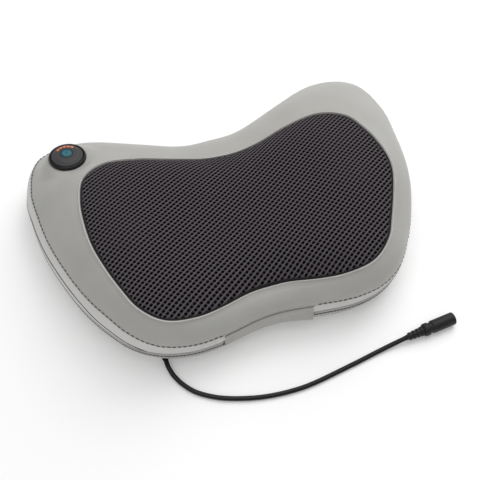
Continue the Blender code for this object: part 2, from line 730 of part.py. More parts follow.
def gear_case(side):
    """Tray and lid of one gear train, with two screwed lugs."""
    frame = side_frame(side)
    inner_end, outer_end = CASE_ENDS
    outer = two_circle_hull(*inner_end, *outer_end, 9)
    inner = two_circle_hull(inner_end[0], inner_end[1] - CASE_WALL,
                            outer_end[0], outer_end[1] - CASE_WALL, 9)
    tray = to_mesh(flat_plate(f"gearcase_{side}", [outer], *CASE_W, abs_plastic(), frame))
    hollow = to_mesh(flat_plate(f"case_hollow_{side}", [inner], CASE_W[0] + CASE_WALL,
                                CASE_W[1] + 3 * MM, None, frame), CUTTERS)
    lid = to_mesh(flat_plate(f"gearcase_lid_{side}", [outer], *LID_W, abs_plastic(), frame))
    for number, v in enumerate((-LUG_Y, LUG_Y), 1):
        place = frame @ Matrix.Translation((LUG_U, v, 0))
        boolean(tray, cylinder(f"lug_{side}_{number}", LUG_RADIUS, *CASE_W, frame=place,
                               sides=12, collection=CUTTERS), "UNION")
        boolean(lid, cylinder(f"lid_lug_{side}_{number}", LUG_RADIUS, *LID_W, frame=place,
                              sides=12, collection=CUTTERS), "UNION")
    boolean(tray, hollow)
    for number, v in enumerate((-LUG_Y, LUG_Y), 1):
        place = frame @ Matrix.Translation((LUG_U, v, 0))
        hole = cylinder(f"screw_hole_{side}_{number}", 1.8 * MM, -2 * MM, 13 * MM, frame=place,
                        sides=12, collection=CUTTERS)
        boolean(tray, hole)
        boolean(lid, hole)
        turned(f"case_screw_{side}_{number}",
               [(0, 11.95), (2.4, 11.8), (3.1, 11.3), (3.1, 10.75), (1.5, 10.75), (1.5, -1),
                (0, -1.6)], steel(), place, steps=12)
    worm_room = cylinder(f"worm_room_{side}", 9 * MM, -30 * MM, 30 * MM,
                         frame=DRIVE_FRAME @ ALONG_Y,
                         collection=CUTTERS)
    boolean(tray, worm_room)
    shaft_hole = cylinder(f"shaft_hole_{side}", SHAFT_RADIUS + GAP, LID_W[0] - 2 * MM,
                          LID_W[1] + 2 * MM, frame=frame @ Matrix.Translation((OUTPUT_U, 0, 0)),
                          collection=CUTTERS)
    boolean(lid, shaft_hole)


# ---------------------------------------------------------------- worm and motor

def worm():
    """Single-start worm: a helical tooth joined to its core, bored for the motor shaft."""
    pitch = math.pi * MODULE
    per_turn = 12
    turns = 4
    root = WORM_PITCH_RADIUS - 1.25 * MODULE
    tip = WORM_PITCH_RADIUS + 0.95 * MODULE
    half_pitch_line = TOOTH_FILL * pitch / 4
    half_tip = half_pitch_line - 0.95 * MODULE * math.tan(PRESSURE)
    half_root = half_pitch_line + 1.25 * MODULE * math.tan(PRESSURE)
    sunk = root - 0.6 * MM
    bm = bmesh.new()
    rows = []
    for i in range(turns * per_turn + 1):
        angle = TAU * i / per_turn - math.pi * turns
        y = pitch * angle / TAU
        row = []
        for radius, offset in ((sunk, -half_root), (tip, -half_tip), (tip, half_tip),
                               (sunk, half_root)):
            row.append(bm.verts.new((radius * math.cos(angle), y + offset,
                                     radius * math.sin(angle))))
        rows.append(row)
    for low, high in zip(rows, rows[1:]):
        for i in range(4):
            bm.faces.new((low[i], low[(i + 1) % 4], high[(i + 1) % 4], high[i]))
    bm.faces.new(rows[0])
    bm.faces.new(rows[-1])
    thread = add_object("worm_thread", finish_bmesh(bm, "worm_thread"), None, DRIVE_FRAME, CUTTERS)
    core = cylinder("worm", root, -WORM_HALF_LENGTH - 1.5 * MM, WORM_HALF_LENGTH + 1.5 * MM,
                    brass(), DRIVE_FRAME @ ALONG_Y)
    boolean(core, thread, "UNION")
    bore = cylinder("worm_bore", MOTOR_SHAFT_RADIUS + GAP, -20 * MM, 20 * MM, sides=12,
                    frame=DRIVE_FRAME @ ALONG_Y, collection=CUTTERS)
    return boolean(core, bore)


def motor():
    """Motor can with its shaft, its end cap, the cradle under it and the bracket before the worm."""
    frame = DRIVE_FRAME @ ALONG_Y
    front, back = (y / MM for y in MOTOR_Y)
    radius = MOTOR_RADIUS / MM
    bore = MOTOR_SHAFT_RADIUS / MM + 0.3
    turned("motor_can",
           [(0, back), (radius - 0.8, back), (radius, back - 0.8), (radius, front + 0.8),
            (radius - 0.8, front), (4, front), (4, front - 1.6), (bore, front - 1.6),
            (bore, front + 4), (0, front + 4)], steel(), frame, steps=18)
    turned("motor_end_cap",
           [(0, back + 4.6), (3, back + 4.6), (3, back + 2.8), (radius - 1.2, back + 2.8),
            (radius - 0.6, back + 2.2), (radius - 0.6, back + 0.3), (0, back + 0.3)],
           abs_plastic(), frame, steps=14)
    cylinder("motor_shaft", MOTOR_SHAFT_RADIUS, -16.5 * MM, MOTOR_Y[0] + 3 * MM, steel(), frame,
             sides=12)
    floor = SHELL_FLOOR_Z + SHELL + GAP
    cradle = box("motor_cradle", (-15 * MM, DRIVE_Y + 24 * MM, floor),
                 (15 * MM, DRIVE_Y + 46 * MM, WORM_Z - 2 * MM), abs_plastic())
    seat = cylinder("motor_seat_cutter", MOTOR_RADIUS + GAP, 20 * MM, 50 * MM, frame=frame,
                    sides=24, collection=CUTTERS)
    boolean(cradle, seat)
    bracket = box("worm_bracket", (-6 * MM, DRIVE_Y - 17 * MM, floor),
                  (6 * MM, DRIVE_Y - 13.5 * MM, WORM_Z + 6 * MM), abs_plastic())
    hole = cylinder("worm_bracket_cutter", 4.3 * MM, -20 * MM, -10 * MM, frame=frame,
                    collection=CUTTERS)
    boolean(bracket, hole)
    turned("worm_bush", [(4, -13.7), (4, -16.8), (bore, -16.8), (bore, -13.7)], brass(), frame,
           steps=16, ring=True)


# ---------------------------------------------------------------- button and electronics

def button_frame():
    """Frame over the face at the button: Z is the face's normal, leaned inward, and X is level."""
    theta = np.array(BUTTON_ANGLE)
    step = 0.001
    point = face_points(theta, BUTTON_ALONG)
    along = face_points(theta, BUTTON_ALONG + step) - point
    across = face_points(theta + step, BUTTON_ALONG) - point
    normal = Vector(np.cross(along, across))
    normal = normal if normal.z > 0 else -normal
    normal = (normal.normalized() + Vector(BUTTON_LEAN)).normalized()
    level = Vector((0, 0, 1)).cross(normal).normalized()
    second = normal.cross(level)
    frame = Matrix((level, second, normal)).transposed().to_4x4()
    frame.translation = Vector(point) + normal * BUTTON_RISE
    return frame


BUTTON_FRAME = button_frame()


def power_button():
    """Base cup, domed cap with its round lens, return spring and switch."""
    turned("button_base",
           [(0, -9.5), (10.8, -9.5), (10.8, -1.5), (13.7, -1.5), (13.7, 3.4), (14.6, 3.4),
            (15.4, 2.6), (15.8, 1.4), (15.8, 0.7), (14.6, 0.7), (14.6, -2.8), (12.5, -2.8),
            (12.5, -11), (0, -11)],
           abs_plastic(), BUTTON_FRAME, steps=20)
    cap = turned("button_cap",
                 [(0, 6.3), (5, 6.2), (9, 5.6), (12, 4.2), (13.3, 2.8), (13.3, 0.6), (2.5, 0.6),
                  (2.5, -3), (0, -3)], head_plastic(), BUTTON_FRAME, steps=20)
    recess = cylinder("lens_recess_cutter", 4.9 * MM, 4.6 * MM, 9 * MM, frame=BUTTON_FRAME,
                      collection=CUTTERS)
    boolean(cap, recess)
    turned("button_lens", [(0, 6.5), (3.4, 6.4), (4.55, 6.0), (4.55, 4.9), (0, 4.9)],
           material("blue_lens", (0.03, 0.18, 0.28), 0.25), BUTTON_FRAME, steps=16)
    turns = 3
    per_turn = 10
    coil = []
    for i in range(turns * per_turn + 1):
        angle = TAU * i / per_turn
        z = (-8.4 + 6.6 * i / (turns * per_turn)) * MM
        coil.append(BUTTON_FRAME @ Vector((7 * MM * math.cos(angle), 7 * MM * math.sin(angle), z)))
    tube("button_spring", coil, 0.45 * MM, steel(), 1)
    box("tact_switch", (-3 * MM, -3 * MM, -9.1 * MM), (3 * MM, 3 * MM, -4.9 * MM), abs_plastic(),
        BUTTON_FRAME)


def control_board():
    floor = SHELL_FLOOR_Z + SHELL + GAP
    box("control_pcb", (-62 * MM, -78 * MM, floor + 1 * MM), (-18 * MM, -56 * MM, floor + 2.6 * MM),
        material("pcb_green", (0.02, 0.16, 0.06), 0.4))


# ---------------------------------------------------------------- cord

def gland_frame():
    """Frame at the gland, Z pointing into the pillow along the cord."""
    return Matrix.Translation((-89.5 * MM, -100 * MM, GLAND_Z)) @ ALONG_Y


def gland_bar(name, radius, low, high):
    """Cutter on the gland's axis."""
    return cylinder(name, radius, low, high, frame=gland_frame(), collection=CUTTERS)


def cord_and_socket():
    """Gland, lead inside, cord along the floor, strain relief and the low-voltage socket."""
    barrel = GLAND_RADIUS / MM
    turned("cord_gland",
           [(barrel, 5.5), (barrel, -0.95), (3.2, -1.0), (3.2, -1.4), (2.8, -1.8), (2.2, -1.8),
            (2.2, 5.5)], black_rubber(), gland_frame(), steps=16, ring=True)
    inner = [(-89.5, -100.2, 5.4), (-89.5, -94, 5.4), (-89, -86, 6), (-86, -78, 7.5),
             (-80, -70, 9), (-72, -66, 9.6), (-63, -66, 9.6)]
    tube("inner_lead", smooth_path(inner, 12), 1.6 * MM, black_rubber())
    path = smooth_path(CORD_ROUTE, CORD_POINTS)
    tube("cord", path, CORD_RADIUS, black_rubber())
    end = Vector(path[-1])
    way = (end - Vector(path[-2]))
    way.z = 0
    way.normalize()
    side = Vector((0, 0, 1)).cross(way)
    up = Vector((0, 0, 1))
    frame = Matrix((side, up, way)).transposed().to_4x4()
    frame.translation = end
    ribs = []
    for i in range(4):
        low = 15.5 - 3.6 * i
        outer = 4.0 - 0.25 * i
        ribs += [(outer, low), (outer, low - 2.2), (outer - 0.9, low - 2.3), (outer - 0.9, low - 3.5)]
    profile = [(0, 15.5)] + ribs[:-1] + [(2.2, 0.3), (0, 0.3)]
    turned("socket_strain_relief", profile, black_rubber(), frame, steps=12)
    radius = SOCKET_RADIUS / MM
    turned("socket_body",
           [(0, 35), (3.1, 35), (3.1, 45), (radius - 0.6, 45), (radius, 44.4), (radius, 24.5),
            (radius - 0.9, 23.5), (radius - 0.9, 21.5), (radius, 20.5), (radius, 17.4),
            (radius - 1, 15.8), (0, 15.8)], black_rubber(), frame, steps=16)
    turned("socket_pin", [(0, 44), (0.7, 43.9), (1.05, 43.3), (1.05, 35.3), (0, 35.3)], steel(),
           frame, steps=10)


def main():
    """Build every piece."""
    start_scene()
    back_cover()
    back_strap()
    zip_chain()
    gusset()
    front_cover()
    foam_surround()
    sheet_in_window("mesh_panel", black_mesh(), GAP, MESH_SHEET, COVER + 2 * GAP)
    sheet_in_window("inner_lining", black_mesh(), MESH_SHEET + 4 * GAP, LINING_SHEET,
                    COVER + 4 * GAP)
    bottom_flap()
    zip_slider()
    rear_shell()
    front_shell()
    for side in SIDES:
        reduction_gear(side)
        output_train(side)
        massage_heads(side)
        gear_case(side)
    worm()
    motor()
    power_button()
    control_board()
    cord_and_socket()


main()
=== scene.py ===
"""Looks of the shiatsu neck massager: soft goods, cord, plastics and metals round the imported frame.

Metres, in the frame of the CAD. Tables of points are in millimetres, and MM turns them into metres.
"""
import json
import math
from itertools import product

import bmesh
import bpy
import numpy as np
from mathutils import Matrix, Vector


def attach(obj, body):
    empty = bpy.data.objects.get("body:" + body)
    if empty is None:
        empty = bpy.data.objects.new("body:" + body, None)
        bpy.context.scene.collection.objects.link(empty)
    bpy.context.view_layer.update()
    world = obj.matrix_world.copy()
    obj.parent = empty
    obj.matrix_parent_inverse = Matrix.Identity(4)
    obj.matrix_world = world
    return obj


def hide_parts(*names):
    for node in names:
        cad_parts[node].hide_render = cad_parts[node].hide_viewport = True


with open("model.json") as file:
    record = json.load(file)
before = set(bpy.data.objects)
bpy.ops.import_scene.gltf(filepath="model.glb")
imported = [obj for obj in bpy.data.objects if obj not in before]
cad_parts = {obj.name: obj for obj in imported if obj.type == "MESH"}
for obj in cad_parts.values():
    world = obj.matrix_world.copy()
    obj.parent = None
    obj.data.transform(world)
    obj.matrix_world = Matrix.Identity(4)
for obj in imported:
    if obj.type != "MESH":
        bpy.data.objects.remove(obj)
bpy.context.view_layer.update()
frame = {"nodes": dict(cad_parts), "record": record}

MM = 0.001
TAU = 2 * math.pi


def frame_at(origin, *axes):
    """A place from its origin and its three unit axes."""
    place = Matrix(axes).transposed().to_4x4()
    place.translation = origin
    return place


# ---- camera

CAMERA_AT = (-0.13643, -0.38313, 0.66448)
CAMERA_X = (0.9496871, -0.3122305, 0.0246273)
CAMERA_Y = (0.2559792, 0.8190859, 0.5133936)
CAMERA_Z = (-0.1804690, -0.4812592, 0.8577998)
LENS = 66.41


def make_camera():
    data = bpy.data.cameras.new("camera")
    data.lens = LENS
    data.sensor_width = 36
    camera = bpy.data.objects.new("camera", data)
    camera.matrix_world = frame_at(CAMERA_AT, CAMERA_X, CAMERA_Y, CAMERA_Z)
    bpy.context.scene.collection.objects.link(camera)
    bpy.context.scene.camera = camera
    bpy.context.scene.view_settings.view_transform = "Standard"


make_camera()

# ---- the pillow's surface

SEAM_HALF = [(0, 80.5), (40, 85.5), (73, 100), (115, 112), (150, 101), (164.5, 69), (164.6, 35),
             (161, 3.5), (152.5, -25), (129, -72), (114, -90.5), (93, -103), (69, -107.7),
             (47, -107), (0, -103)]
WINDOW_HALF = [(0, 41.5), (25, 43.8), (42, 47.8), (66, 53.4), (94, 53.6), (114, 41), (122.3, 19.5),
               (125, -3), (124.3, -25), (118.8, -46), (111.3, -65.5), (102, -84), (85.6, -97),
               (62, -99), (40, -95), (24, -90.5), (0, -87.6)]
PLAN_Y = -25 * MM
SEAM_Z = 30 * MM
SEAM_RISE = 2 * MM
SEAM_RISE_AT = 150 * MM
WINDOW_Z = 55 * MM
WINDOW_RISE = 22 * MM
WINDOW_RISE_AT = 120 * MM
PANEL_CROWN = 17 * MM
FACE_CROWN = 6 * MM
FLOOR_INSET = 11 * MM
SEAM_ROUND = 60 * MM
RING = 320


def polar_knots(half_mm):
    """Angles and radii about the plan centre of a half outline and its mirror image."""
    left = [(-x, y) for x, y in half_mm if x > 0]
    points = np.array(half_mm + left, dtype=float) * MM - np.array((0.0, PLAN_Y))
    angles = np.mod(np.arctan2(points[:, 1], points[:, 0]), TAU)
    order = np.argsort(angles)
    return angles[order], np.hypot(points[:, 0], points[:, 1])[order]


def radius_at(theta, knots):
    """Radius at an angle on the smooth closed curve through the knots."""
    angles, radii = knots
    angles = np.concatenate([angles[-2:] - TAU, angles, angles[:2] + TAU])
    radii = np.concatenate([radii[-2:], radii, radii[:2]])
    step = np.diff(angles)
    slope = np.diff(radii) / step
    tangent = np.zeros_like(radii)
    tangent[1:-1] = (slope[:-1] * step[1:] + slope[1:] * step[:-1]) / (step[1:] + step[:-1])
    theta = np.mod(theta, TAU)
    i = np.clip(np.searchsorted(angles, theta, side="right") - 1, 1, len(angles) - 3)
    h = step[i]
    t = (theta - angles[i]) / h
    return ((1 + 2 * t) * (1 - t) ** 2 * radii[i] + t * (1 - t) ** 2 * h * tangent[i]
            + t ** 2 * (3 - 2 * t) * radii[i + 1] + t ** 2 * (t - 1) * h * tangent[i + 1])


SEAM = polar_knots(SEAM_HALF)
WINDOW = polar_knots(WINDOW_HALF)
SEAM_SAG = [(140, 14, -2.2), (173, 12, -1.3), (238, 16, 2.5), (318, 14, 1.2),
            (44, 9, 1.7), (63, 7, -1.3), (92, 13, -1.6), (118, 11, -2.6)]
WINDOW_SAG = [(2, 13, 2.8), (32, 15, -3.1), (60, 14, -2.0), (118, 20, 3.4), (180, 16, -1.3),
              (315, 22, -2.2)]


def sagged(theta, radius, sags):
    """Radius changed by bumps: (middle and width in degrees, millimetres) each."""
    for middle, width, amount in sags:
        turn = np.mod(np.degrees(theta) - middle + 180, 360) - 180
        radius = radius + amount * MM * np.exp(-(turn / width) ** 2)
    return radius


def seam_radius(theta):
    """Radius of the widest line, with the soft pillow's uneven fill."""
    return sagged(theta, radius_at(theta, SEAM), SEAM_SAG)


def window_radius(theta):
    """Radius of the window's edge as the cloth is pulled round it."""
    return sagged(theta, radius_at(theta, WINDOW), WINDOW_SAG)


def even_angles(knots, count):
    """Plan angles that step evenly along an outline."""
    dense = np.linspace(0, TAU, 4001)
    radius = radius_at(dense, knots)
    steps = np.hypot(np.diff(radius * np.cos(dense)), np.diff(radius * np.sin(dense)))
    length = np.concatenate([[0.0], np.cumsum(steps)])
    return np.interp(np.linspace(0, length[-1], count, endpoint=False), length, dense)


def seam_height(x):
    return SEAM_Z + SEAM_RISE * (x / SEAM_RISE_AT) ** 2


def window_height(x):
    return WINDOW_Z + WINDOW_RISE * (x / WINDOW_RISE_AT) ** 2


def plan_points(theta, radius, height):
    x = radius * np.cos(theta)
    y = PLAN_Y + radius * np.sin(theta)
    return np.stack([x, y, np.broadcast_to(height, x.shape)], axis=-1)


def seam_level(theta):
    """Height of the widest line at an angle."""
    return seam_height(seam_radius(theta) * np.cos(theta))


def face_run(theta, even=False):
    """Radius and height of the widest line, and the run and rise from there to the window."""
    r_seam = radius_at(theta, SEAM) if even else seam_radius(theta)
    r_window = radius_at(theta, WINDOW) if even else window_radius(theta)
    z_seam = seam_height(r_seam * np.cos(theta))
    return r_seam, z_seam, r_seam - r_window, window_height(r_window * np.cos(theta)) - z_seam


def face_slant(theta):
    """Length of the padded face from the seam to the window."""
    return np.hypot(*face_run(theta)[2:])


def face_points(theta, along, lift=0.0, even=False):
    """Points on the padded face, from the seam (along 0) to the window (along 1)."""
    r_seam, z_seam, run, rise = face_run(theta, even)
    slant = np.hypot(run, rise)
    out = FACE_CROWN * np.sin(math.pi * along) + lift
    return plan_points(theta, r_seam - run * along + out * rise / slant,
                       z_seam + rise * along + out * run / slant)


def side_points(theta, height, outset=0.0):
    """Points on the side below the seam, at a height."""
    level = np.clip(1 - height / seam_level(theta), 0, 1)
    inset = FLOOR_INSET * (1 - np.sqrt(1 - level ** 2))
    return plan_points(theta, seam_radius(theta) - inset + outset, height)


def cover_points(theta, distance, lift=0.0):
    """Points on the cover at a distance above (or, negative, below) the widest line."""
    distance = np.broadcast_to(distance, theta.shape)
    upper = face_points(theta, np.maximum(distance, 0) / face_slant(theta), lift)
    below = np.minimum(distance, 0)
    lower = plan_points(theta, seam_radius(theta) + below ** 2 / (-2 * SEAM_ROUND) + lift,
                        seam_level(theta) + below)
    return np.where(distance[..., None] >= 0, upper, lower)


THETA = even_angles(SEAM, RING)

# ---- mesh helpers


def link(name, mesh, mat=None):
    piece = bpy.data.objects.new(name, mesh)
    if mat is not None:
        mesh.materials.append(mat)
    bpy.context.scene.collection.objects.link(piece)
    return piece


def mesh_from(bm, name):
    """A finished bmesh as a mesh."""
    mesh = bpy.data.meshes.new(name)
    bm.to_mesh(mesh)
    bm.free()
    return mesh


def mesh_of(name, points, faces, smooth_angle=40):
    """A mesh with its faces pointing out and its sharp edges marked."""
    mesh = bpy.data.meshes.new(name)
    mesh.from_pydata([tuple(p) for p in points], [], faces)
    bm = bmesh.new()
    bm.from_mesh(mesh)
    bmesh.ops.recalc_face_normals(bm, faces=bm.faces)
    bm.to_mesh(mesh)
    bm.free()
    mesh.shade_smooth()
    mesh.set_sharp_from_angle(angle=math.radians(smooth_angle))
    return mesh


def around(count):
    """Even angles of a full turn."""
    return np.linspace(0, TAU, count, endpoint=False)


def arc(centre, east, north, angles):
    """Points round a centre, or round each point of a line: east at 0, north at a right angle."""
    return [centre + east * math.cos(a) + north * math.sin(a) for a in angles]


def unit(vectors):
    return vectors / np.linalg.norm(vectors, axis=-1, keepdims=True)


def reach_along(points):
    """Distance along a path, or along each column of a grid, at each of its points."""
    steps = np.linalg.norm(np.diff(points, axis=0), axis=-1)
    return np.concatenate([np.zeros_like(steps[:1]), np.cumsum(steps, axis=0)])


def point_at(at, reach, path):
    """The path's point, or points, at a distance along it."""
    return np.stack([np.interp(at, reach, path[:, k]) for k in range(3)], axis=-1)


def loft_faces(base, rings, sides):
    """Faces of a closed loft over rings of points, the first of which is number base."""
    last = base + (rings - 1) * sides
    faces = [(low + k, low + (k + 1) % sides, low + sides + (k + 1) % sides, low + sides + k)
             for low in range(base, last, sides) for k in range(sides)]
    return faces + [tuple(range(low, low + sides)) for low in (base, last)]


def skin(name, rows, mat, loop_rows=False, hubs=False, smooth_angle=40):
    """Skin over a grid of points (rows, columns, 3), with UVs in millimetres of cloth."""
    rows = np.asarray(rows, dtype=float)
    count, width = rows.shape[:2]
    points = list(rows.reshape(-1, 3))
    faces = []
    for i in range(count if loop_rows else count - 1):
        lift = ((i + 1) % count - i) * width
        for j in range(width):
            a = i * width + j
            b = i * width + (j + 1) % width
            faces.append((a, b, b + lift, a + lift))
    if hubs:
        for i in (0, count - 1):
            hub = len(points)
            points.append(rows[i].mean(axis=0))
            faces += [(i * width + j, i * width + (j + 1) % width, hub) for j in range(width)]
    mesh = mesh_of(name, points, faces, smooth_angle)
    u = reach_along(rows[count // 2]) / MM
    v = reach_along(rows).mean(axis=1) / MM
    layer = mesh.uv_layers.new(name="cloth")
    for polygon in mesh.polygons:
        corners = [mesh.loops[k].vertex_index for k in polygon.loop_indices]
        wraps = {c % width for c in corners if c < count * width} >= {0, width - 1}
        for k, corner in zip(polygon.loop_indices, corners):
            if corner < count * width:
                column = corner % width
                step = u[1] + u[-1] if wraps and column == 0 else u[column]
                layer.data[k].uv = (step, v[corner // width])
    return link(name, mesh, mat)


def normals_of(rows):
    """Unit normals of a grid that is closed along its columns."""
    along = np.roll(rows, -1, axis=1) - np.roll(rows, 1, axis=1)
    normal = unit(np.cross(along, np.gradient(rows, axis=0)))
    outward = ((rows - np.array((0.0, PLAN_Y, 0.0))) * normal).sum() > 0
    return normal if outward else -normal


def soften(rows, passes):
    """Round the section of a grid, keeping its first and last rows."""
    rows = np.array(rows, dtype=float)
    for _ in range(passes):
        rows[1:-1] = 0.5 * rows[1:-1] + 0.25 * (rows[:-2] + rows[2:])
    return rows


CORNER_STEPS = 4


def rounded(profile, radius):
    """Profile with its inner corners turned into short curves."""
    points = [np.array(p, dtype=float) for p in profile]
    out = [points[0]]
    for before, corner, after in zip(points, points[1:], points[2:]):
        start, end = (corner + unit(far - corner) * min(radius, np.linalg.norm(far - corner) * 0.45)
                      for far in (before, after))
        for t in np.linspace(0, 1, CORNER_STEPS):
            out.append((1 - t) ** 2 * start + 2 * t * (1 - t) * corner + t ** 2 * end)
    return out + [points[-1]]


def turned(name, profile_mm, place, mat, corner=0.3, steps=72, ring=False):
    """A turned piece. The profile holds (radius, height) pairs in millimetres."""
    profile = rounded(profile_mm + profile_mm[:2] if ring else profile_mm, corner)
    if ring:
        profile = profile[1:-1]
    points = []
    rows = []
    for radius, height in profile:
        count = 1 if radius < 1e-6 else steps
        rows.append(range(len(points), len(points) + count))
        points += arc(np.array((0, 0, height * MM)), np.array((radius * MM, 0, 0)),
                      np.array((0, radius * MM, 0)), TAU * np.arange(count) / steps)
    faces = []
    for a, b in zip(rows, rows[1:] + rows[:1] if ring else rows[1:]):
        for k in range(steps):
            n = (k + 1) % steps
            corners = dict.fromkeys((a[k % len(a)], a[n % len(a)], b[n % len(b)], b[k % len(b)]))
            if len(corners) > 2:
                faces.append(tuple(corners))
    mesh = mesh_of(name, points, faces, 50)
    mesh.transform(place)
    return link(name, mesh, mat)


# Place along the loop and thickness, as shares, of each ring of a stitch.
STITCH_RINGS = ((0.0, 0.35), (0.2, 0.9), (0.5, 1.0), (0.8, 0.9), (1.0, 0.35))
STITCH_SIDES = 6


def stitches(name, path, normals, mat, slot, sizes, closed=True, avoid=None):
    """A row of thread loops, each a short rounded bead that dips into the cloth at both ends.

    The sizes are a loop's length, the gap after it and its thread's radius, in millimetres.
    """
    length, gap, radius = (size * MM for size in sizes)
    path = np.asarray(path)
    if closed:
        path = np.vstack([path, path[:1]])
        normals = np.vstack([normals, normals[:1]])
    reach = reach_along(path)
    count = int(reach[-1] / (length + gap))
    points = []
    faces = []
    for n in range(count):
        begin = n * reach[-1] / count
        if avoid is not None and avoid(point_at(begin + length / 2, reach, path)):
            continue
        faces += loft_faces(len(points), len(STITCH_RINGS), STITCH_SIDES)
        for share, size in STITCH_RINGS:
            at = begin + share * length
            centre = point_at(at, reach, path)
            up = point_at(at, reach, normals)
            side = np.cross(unit(point_at(at + 0.5 * MM, reach, path) - centre), up)
            dip = radius * (0.9 * math.sin(math.pi * share) - 0.5)
            points += arc(centre + up * dip, side * size * radius, up * size * radius,
                          around(STITCH_SIDES))
    put(link(name, mesh_of(name, points, faces, 60), mat), slot)


def put(piece, slot, *nodes, body="pillow"):
    """Stand for CAD nodes by hiding them, and ride on a body. The slot is not used."""
    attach(piece, body)
    if nodes:
        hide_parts(*nodes)
    return piece


# ---- materials


def feed(mat, socket, value):
    """Set an input to a plain value, or link it to another node's output."""
    if isinstance(value, bpy.types.NodeSocket):
        mat.node_tree.links.new(value, socket)
    else:
        socket.default_value = value


def set_input(mat, name, value):
    """Feed an input of the material's shader."""
    feed(mat, mat.node_tree.nodes["Principled BSDF"].inputs[name.replace("_", " ")], value)


def new_material(name, colour, roughness, metallic=0.0, **constants):
    """A Principled material; constants are set on the shader's own sockets."""
    mat = bpy.data.materials.new(name)
    mat.use_nodes = True
    set_input(mat, "Base_Color", (*colour, 1.0))
    set_input(mat, "Roughness", roughness)
    set_input(mat, "Metallic", metallic)
    for socket, value in constants.items():
        set_input(mat, socket, value)
    return mat


def node(mat, kind, **values):
    """A node with its inputs fed by name."""
    made = mat.node_tree.nodes.new("ShaderNode" + kind)
    for name, value in values.items():
        feed(mat, made.inputs[name.replace("_", " ")], value)
    return made


def calculate(mat, operation, *values, kind="Math", output="Value"):
    """A Math or VectorMath node with its inputs fed in order."""
    made = mat.node_tree.nodes.new("ShaderNode" + kind)
    made.operation = operation
    for socket, value in zip(made.inputs, values):
        feed(mat, socket, value)
    return made.outputs[output]


def noise(mat, place, scale, detail=2.0, **values):
    return node(mat, "TexNoise", Vector=place, Scale=scale, Detail=detail, **values).outputs["Fac"]


def coordinates(mat, kind="Object", scale=(1, 1, 1)):
    """Texture coordinates, scaled."""
    source = node(mat, "TexCoord").outputs[kind]
    return node(mat, "Mapping", Vector=source, Scale=scale).outputs["Vector"]


def ramp(mat, factor, dark, light, low=0.3, high=0.7):
    """Two colours mixed by a factor."""
    made = node(mat, "ValToRGB", Fac=factor)
    for stop, place, colour in zip(made.color_ramp.elements, (low, high), (dark, light)):
        stop.position = place
        stop.color = (*colour, 1.0)
    return made.outputs["Color"]


def mottle(mat, factor, colour, amount, low=0.3, high=0.7):
    """Vary the base colour by a share either way."""
    dark, light = ([c * (1 + change) for c in colour] for change in (-amount, amount))
    set_input(mat, "Base_Color", ramp(mat, factor, dark, light, low, high))


def add_bump(mat, heights):
    """Chain bumps: (height socket, strength, distance) each."""
    chained = {}
    for height, strength, distance in heights:
        made = node(mat, "Bump", Height=height, Strength=strength, Distance=distance, **chained)
        chained = {"Normal": made.outputs["Normal"]}
    set_input(mat, "Normal", chained["Normal"])


def leather_material():
    """Grey artificial leather: pebbled grain, faint mottling, a little uneven gloss."""
    colour = (0.405, 0.4, 0.378)
    mat = new_material("grey_pu_grain", colour, 0.5, Specular_IOR_Level=0.4, Sheen_Weight=0.08)
    place = coordinates(mat)
    mottle(mat, noise(mat, place, 38.0, 4.0), colour, 0.035)
    gloss = noise(mat, place, 120.0, 3.0)
    set_input(mat, "Roughness", calculate(mat, "MULTIPLY_ADD", gloss, 0.16, 0.44))
    grain = node(mat, "TexVoronoi", Vector=place, Scale=1400.0).outputs["Distance"]
    add_bump(mat, [(noise(mat, place, 26.0), 0.25, 0.0012), (grain, 0.3, 0.00012),
                   (noise(mat, place, 2600.0), 0.15, 0.00006)])
    return mat


def woven_material(name, colour, pitch_mm, contrast):
    """Plain weave along the cloth's own UVs, with fuzzy threads."""
    mat = new_material(name, colour, 0.85, Specular_IOR_Level=0.2, Sheen_Weight=0.2)
    cloth = node(mat, "SeparateXYZ", Vector=coordinates(mat, "UV"))
    angles = [calculate(mat, "MULTIPLY", cloth.outputs[axis], TAU / pitch_mm) for axis in "XY"]
    over = calculate(mat, "MULTIPLY", *(calculate(mat, "SINE", angle) for angle in angles))
    height = calculate(mat, "MULTIPLY_ADD", over, 0.5, 0.5)
    fuzz = noise(mat, coordinates(mat), 1500.0, 3.0)
    mixed = calculate(mat, "MULTIPLY_ADD", fuzz, 0.35, calculate(mat, "MULTIPLY", height, 0.65))
    mottle(mat, mixed, colour, contrast, 0.2, 0.8)
    add_bump(mat, [(height, 0.6, 0.00025), (fuzz, 0.3, 0.0001)])
    return mat


def net_material():
    """Black knitted yarn with painted light: a purple-grey painted highlight on its crests and
    painted shade in the depth.
    """
    mat = new_material("air_mesh_yarn", (0.06, 0.052, 0.06), 0.65, Specular_IOR_Level=0.2)
    drop = node(mat, "Attribute")
    drop.attribute_name = "drop"
    yarn = noise(mat, coordinates(mat), 1700.0, 3.0, Distortion=0.6)
    mixed = calculate(mat, "MULTIPLY_ADD", yarn, 0.5, drop.outputs["Fac"])
    # Painted light from the depth below the crest: a painted highlight on the crests that fades to
    # painted shade down in the holes.
    set_input(mat, "Base_Color", ramp(mat, mixed, (0.137, 0.118, 0.132), (0.016, 0.014, 0.016),
                                      0.0, 0.68))
    add_bump(mat, [(yarn, 0.5, 0.0002)])
    return mat


BULGE_X = 95 * MM
BULGE_Y = -20 * MM
BULGE_Z = 73 * MM
BULGE_REACH = 17 * MM
BULGE_LIFT = 1.8 * MM


